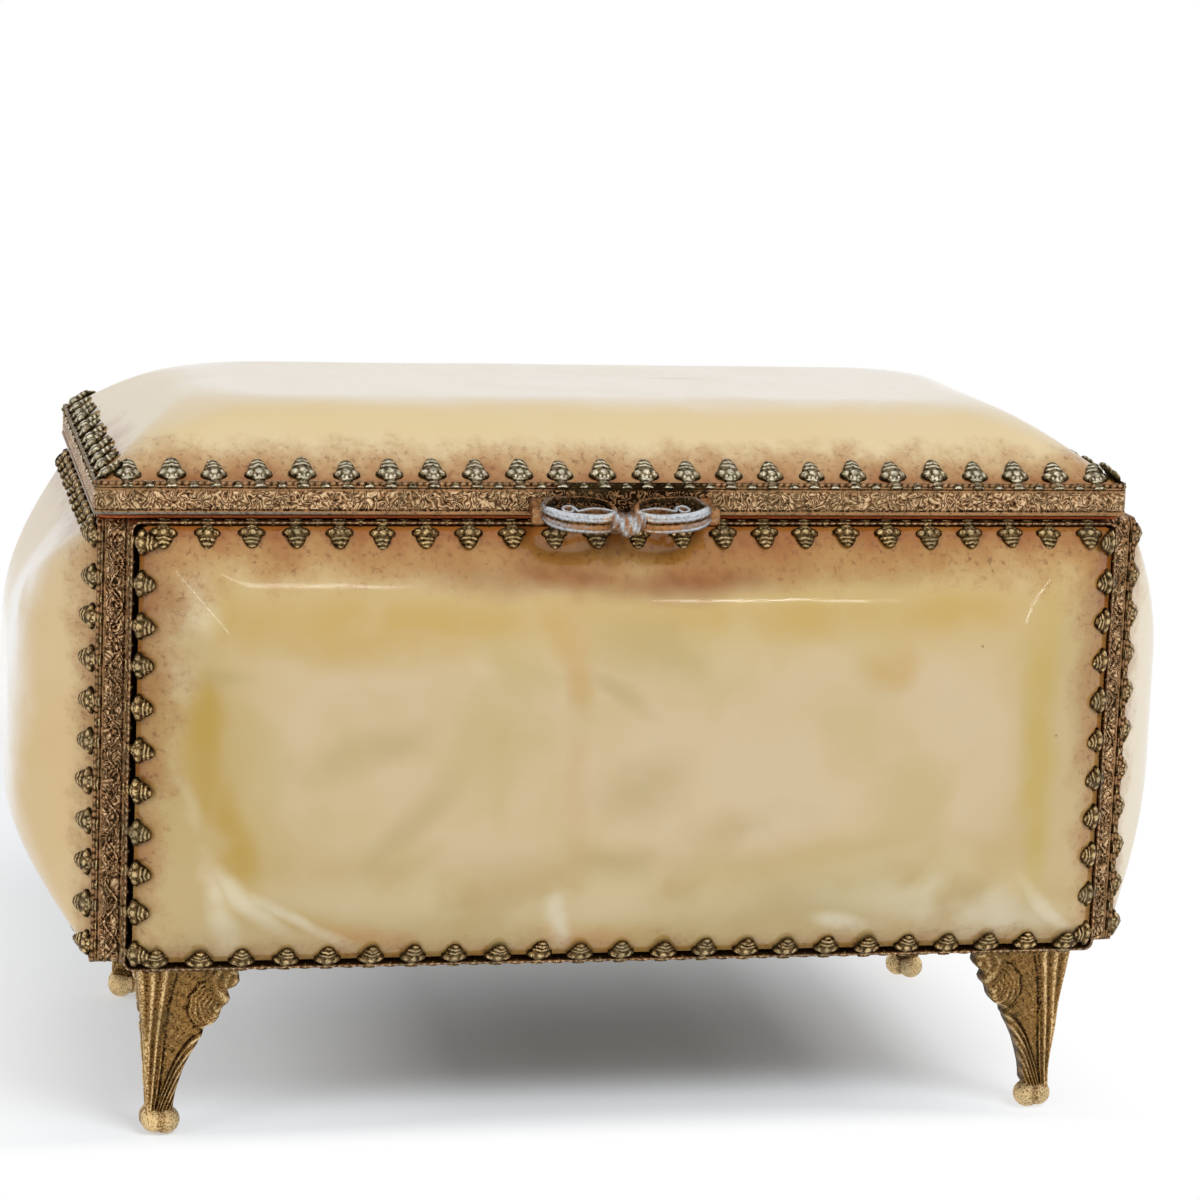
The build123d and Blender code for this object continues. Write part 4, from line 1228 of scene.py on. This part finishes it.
def bow_loop(side):
    """One loop of the bow: a strap on edge that goes round a slot, deep in front, with a leaf behind that is painted
    darker as shade.
    """
    centres, acrosses, halves, shade, bared = [], [], [], [], []
    for i in range(loop_steps):
        angle = 2 * math.pi * i / loop_steps
        c, s = math.cos(angle), math.sin(angle)
        front = smooth_step(-s, -0.5, 0.8)
        leaf = math.exp(-(((angle - 0.85) / 0.42) ** 2))
        pinch = 1 - 0.35 * max(0.0, -c) ** 2
        x = side * (loop_middle + loop_half * rounded(c, 0.7))
        y = -front_face - loop_front + loop_depth * rounded(s, 0.75) * pinch
        rise = 0.7 * (abs(x) / 12.2) ** 2 * front
        z = lid_bottom + 2.6 - loop_drop * (0.5 - 0.5 * rounded(s, 0.8)) + rise - 0.3 * front * max(0.0, -c)
        out = Vector((side * 2.85 * c, 5.2 * s, 0)).normalized()
        centres.append((x, y, z))
        acrosses.append(out)
        halves.append((0.42 + 0.2 * front + 0.3 * leaf, 0.42 + 0.95 * front + 0.35 * leaf))
        # The back half is painted darker, a painted shade behind the front strap, and is worn less
        shade.append(0.35 + 0.6 * front)
        # The ends are rubbed bare, and the gilding stays beside the knot
        bared.append(0.35 * smooth_step(abs(x), 7.5, 11.5) - 0.4 + 0.4 * smooth_step(abs(x), 2.5, 6.5))
    return sweep(centres, acrosses, halves, STRAP, closed=True, shade=shade, bared=bared)


def bow_scroll(side):
    """The thin scroll inside a loop: a bar that leaves the knot, swells and curls back at its end."""
    centres, acrosses, halves = [], [], []
    for i in range(scroll_steps):
        share = i / (scroll_steps - 1)
        angle = math.radians(200 - 400 * max(0.0, share - 0.5) / 0.5)
        if share < 0.5:
            x, y = 1.8 + 5.6 * share / 0.5, -0.9 + 0.9 * math.sin(math.pi * share / 0.5)
        else:
            radius = 1.15 * (1 - 0.5 * (share - 0.5) / 0.5)
            x, y = 8.5 + radius * math.cos(angle), -0.3 + radius * math.sin(angle)
        centres.append((side * x, -front_face - scroll_front + y, lid_bottom + 1.5 + 0.35 * y))
        halves.append((0.24 + 0.14 * math.sin(math.pi * share), 0.4))
    for i in range(scroll_steps):
        a, b = centres[max(0, i - 1)], centres[min(scroll_steps - 1, i + 1)]
        way = Vector((b[0] - a[0], b[1] - a[1], 0)).normalized()
        acrosses.append((-way.y, way.x))
    return sweep(centres, acrosses, halves, BAR)


def bow_knot():
    """The knot: a rounded lump of folded ribbon that dips to a point in front."""
    centres, acrosses, halves = [], [], []
    for i in range(knot_steps):
        u = -1 + 2 * i / (knot_steps - 1)
        swell = math.sqrt(max(0.0, 1 - abs(u) ** 2.4))
        dip = 1.0 * (1 - abs(u)) ** 1.3
        centres.append((3.1 * u, -front_face - knot_front - 0.3 * swell, lid_bottom + 0.25 - dip))
        acrosses.append((0, -1))
        halves.append((0.4 + 2.75 * swell, 0.3 + 1.3 * swell))

    def fold(i, angle):
        coarse = 1 + 0.045 * math.cos(0.62 * i + 2 * angle) + 0.03 * math.cos(1.3 * i - 3 * angle)
        return coarse + 0.02 * math.cos(2.1 * i + 5 * angle)

    return sweep(centres, acrosses, halves, BAR, fold=fold)


def bow_lug(side):
    """A lug: a small curled plate that stands in front of the strip, with its arm back to the rivet."""
    shape = [
        (0.0, 1.1, 1.3, 1.55), (-0.5, 1.2, 1.4, 1.5), (-1.0, 1.0, 1.2, 1.4), (-1.8, 0.8, 1.0, 1.1),
        (-2.8, 0.85, 1.15, 0.8), (-3.5, 1.05, 1.3, 0.7), (-4.1, 1.1, 1.35, 0.65), (-4.35, 0.8, 1.0, 0.65),
    ]
    centres = [(side * (12.5 + 0.08 * i), -front_face + y, lid_bottom + z) for i, (y, _, _, z) in enumerate(shape)]
    bar = [(c, s, 0.25 + 0.65 * abs(s) * abs(c), 0.1) for c, s, _, _ in BAR]
    return sweep(centres, [(1, 0)] * len(shape), [(wide, high) for _, wide, high, _ in shape], bar)


print("faces in the knot", len(bow_knot()[1]))

# %% Join the bow
bow_points, bow_faces, bow_tones, bow_worn = [], [], [], []
for shape in (bow_loop(-1), bow_loop(1), bow_scroll(-1), bow_scroll(1), bow_knot(), bow_lug(-1), bow_lug(1)):
    start = sum(len(p) for p in bow_points)
    bow_points.append(shape[0] + np.array([pull_shift, 0, 0]))
    bow_faces += [tuple(start + i for i in face) for face in shape[1]]
    bow_tones += list(shape[2])
    bow_worn += list(shape[3])
bow = make_piece(
    "lid_pull_cast", np.vstack(bow_points), bow_faces, Matrix.Identity(4), pull_gilt, "lid",
    marks={"relief": np.clip(bow_tones, 0, 1), "worn": bow_worn},
)
# The loops were swept both ways round, so the faces are turned to look outwards
bpy.context.view_layer.objects.active = bow
turned = bmesh.new()
turned.from_mesh(bow.data)
bmesh.ops.recalc_face_normals(turned, faces=turned.faces)
turned.to_mesh(bow.data)
turned.free()
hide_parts("lid_pull")
print("bow faces", len(bow_faces))

# %% [markdown]
# ## Finish: rust velvet
# The lining is cotton velvet glued over card. Its pile leans a little, so it shows soft lighter and
# darker strokes, and its edge glows at a low angle. Sheen on a rough shader gives that glow.


# %% Velvet
def velvet_finish(name, base, light):
    """Short cotton velvet: strokes of leaning pile over a fine nap."""
    material, tree, shader = new_material(name)
    place = add(tree, "TexCoord").outputs["Object"]
    stroke = add(tree, "TexNoise", {"Vector": place, "Scale": 55.0, "Detail": 3.0, "Distortion": 0.8})
    nap = add(tree, "TexNoise", {"Vector": place, "Scale": 2600.0, "Detail": 2.0})
    lean = add(tree, "MapRange", [stroke, 0.35, 0.7])
    tones = tint(tree, linear(base), lean, light)
    fleck = add(tree, "MapRange", [nap, 0.35, 0.65, 0.0, 0.4])
    tones = tint(tree, tones, fleck, "#7E2E12")
    bump = add(tree, "Bump", {"Height": nap, "Strength": 0.6, "Distance": 0.0003})
    fill(tree, shader, {
        "Base Color": tones, "Roughness": 0.9, "Specular IOR Level": 0.2, "Normal": bump,
        "Sheen Weight": 0.35, "Sheen Roughness": 0.4, "Sheen Tint": linear("#F0A070"),
    })
    return material


velvet = velvet_finish("rust cotton velvet", "#AE4E1E", "#C06534")
print("velvet made")

# %% [markdown]
# ## Lining card and base pad
# The lining card closes the lid from below. The base pad is card and wadding under velvet, crowned in
# the middle, with sides that pull in between the corners. Both are rings of points that follow the
# solids that they stand for.

# %% Lining card
card_x, card_front, card_back, card_thickness = 153.2, -37.9, 36.25, 0.6
card_rings = []
for inset, level in ((3.0, 0.12), (0.5, 0.02), (0.1, 0.1), (0, 0.3), (0.1, 0.5), (0.5, 0.58), (3.0, 0.6)):
    flat = rounded_rectangle(card_x - 2 * inset, card_back - card_front - 2 * inset, 1.6, 40, 20)[0]
    flat = flat + np.array([lid_shift, (card_front + card_back) / 2])
    card_rings.append(np.column_stack([flat, np.full(len(flat), lid_bottom - card_thickness + level)]))
card_faces = join_rings(card_rings)
lining = make_piece("lid_lining_velvet", np.vstack(card_rings), card_faces, Matrix.Identity(4), velvet, "lid")
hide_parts("lid_lining")
print("lining faces", len(lining.data.polygons))

# %% Base pad
pad_x, pad_y = 2 * (side_back - 1.0), 2 * (front_back - 1.0)
plate_thickness, pad_pull_in = 0.8, 0.8
# The pad's section from its foot to its crown: how far in, and how high
pad_levels = [
    (0.35, 0.0), (0.1, 0.25), (0.0, 0.9), (0.0, 1.7), (0.35, 2.4), (0.95, 2.85), (2.0, 3.2), (4.0, 3.55),
    (7.0, 3.85), (11.0, 4.05), (16.0, 4.15), (22.0, 4.2), (28.0, 4.2), (32.0, 4.2),
]
pad_low = foot_height + plate_thickness
pad_rings = []
for inset, level in pad_levels:
    size_x, size_y = pad_x - 2 * inset, pad_y - 2 * inset
    flat = rounded_rectangle(size_x, size_y, min(3.0, (pad_y / 2 - inset) * 0.8), 90, 42)[0]
    half_x, half_y = pad_x / 2 - inset, pad_y / 2 - inset
    # The sides pull in between the corners
    for n, half, other, other_half in ((0, half_x, 1, half_y), (1, half_y, 0, half_x)):
        pull = np.sign(flat[:, n]) * pad_pull_in * (np.abs(flat[:, n]) / half) ** 6
        flat[:, n] -= pull * (1 - (flat[:, other] / other_half) ** 2)
    soft = [0.16 * (noise.noise(Vector((x / 9, y / 9, 2.0))) - 0.4) * min(1.0, inset / 3) for x, y in flat]
    pad_rings.append(np.column_stack([flat, np.full(len(flat), pad_low + level) + soft]))
pad_faces = join_rings(pad_rings)
pad = make_piece("base_pad_velvet", np.vstack(pad_rings), pad_faces, Matrix.Identity(4), velvet, "body")
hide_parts("base_pad")
print("pad faces", len(pad.data.polygons))

# %% [markdown]
# ## Plain metal parts
# The hinges are rolled from thin brass, the base is brass sheet, and the pins and screws are steel.
# Their solids already have the right shape, so they stay and get a finish. Rolling leaves fine
# lines along the sheet, and the old brass has dull brown patches.


# %% Rolled metal
def rolled_metal(name, clean, dull, roughness, stretch):
    """Sheet or wire metal: rolling lines along one axis and dull patches."""
    material, tree, shader = new_material(name)
    place = add(tree, "TexCoord").outputs["Object"]
    drawn = add(tree, "Mapping", {"Vector": place, "Scale": stretch})
    lines = add(tree, "TexNoise", {"Vector": drawn, "Scale": 900.0, "Detail": 3.0})
    patch = add(tree, "TexNoise", {"Vector": place, "Scale": 240.0, "Detail": 4.0})
    both = add(tree, "Math MULTIPLY_ADD", [lines, 0.4, patch])
    tones = set_ramp(add(tree, "ValToRGB", [both]), [(0.5, dull), (0.78, clean)])
    rough = add(tree, "MapRange", [both, 0.5, 0.85, roughness + 0.15, roughness])
    bump = add(tree, "Bump", {"Height": lines, "Strength": 0.3, "Distance": 0.0001})
    fill(tree, shader, {"Base Color": tones, "Metallic": 1.0, "Roughness": rough, "Normal": bump})
    return material


hinge_brass = rolled_metal("rolled hinge brass", "#B8935A", "#7A5C36", 0.34, (0.1, 1, 1))
sheet_brass = rolled_metal("browned base brass", "#7E6C50", "#4C4032", 0.38, (0.06, 1, 1))
pin_steel = rolled_metal("drawn pin steel", "#A8A49C", "#6E6A62", 0.3, (0.1, 1, 1))


def refinish(node, material):
    """Gives a kept solid its finish through the object's own slots."""
    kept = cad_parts[node]
    for slot in kept.material_slots:
        slot.link = "OBJECT"
        slot.material = material


for side in ("left", "right"):
    for piece, metal in (("body_leaf", hinge_brass), ("lid_leaf", hinge_brass), ("pin", pin_steel)):
        refinish(f"{side}_hinge_{piece}", metal)
refinish("base_plate", sheet_brass)
refinish("foot_screws", pin_steel)
refinish("pull_rivets", pull_gilt)
print("kept solids", [o.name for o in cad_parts.values() if not o.hide_render])
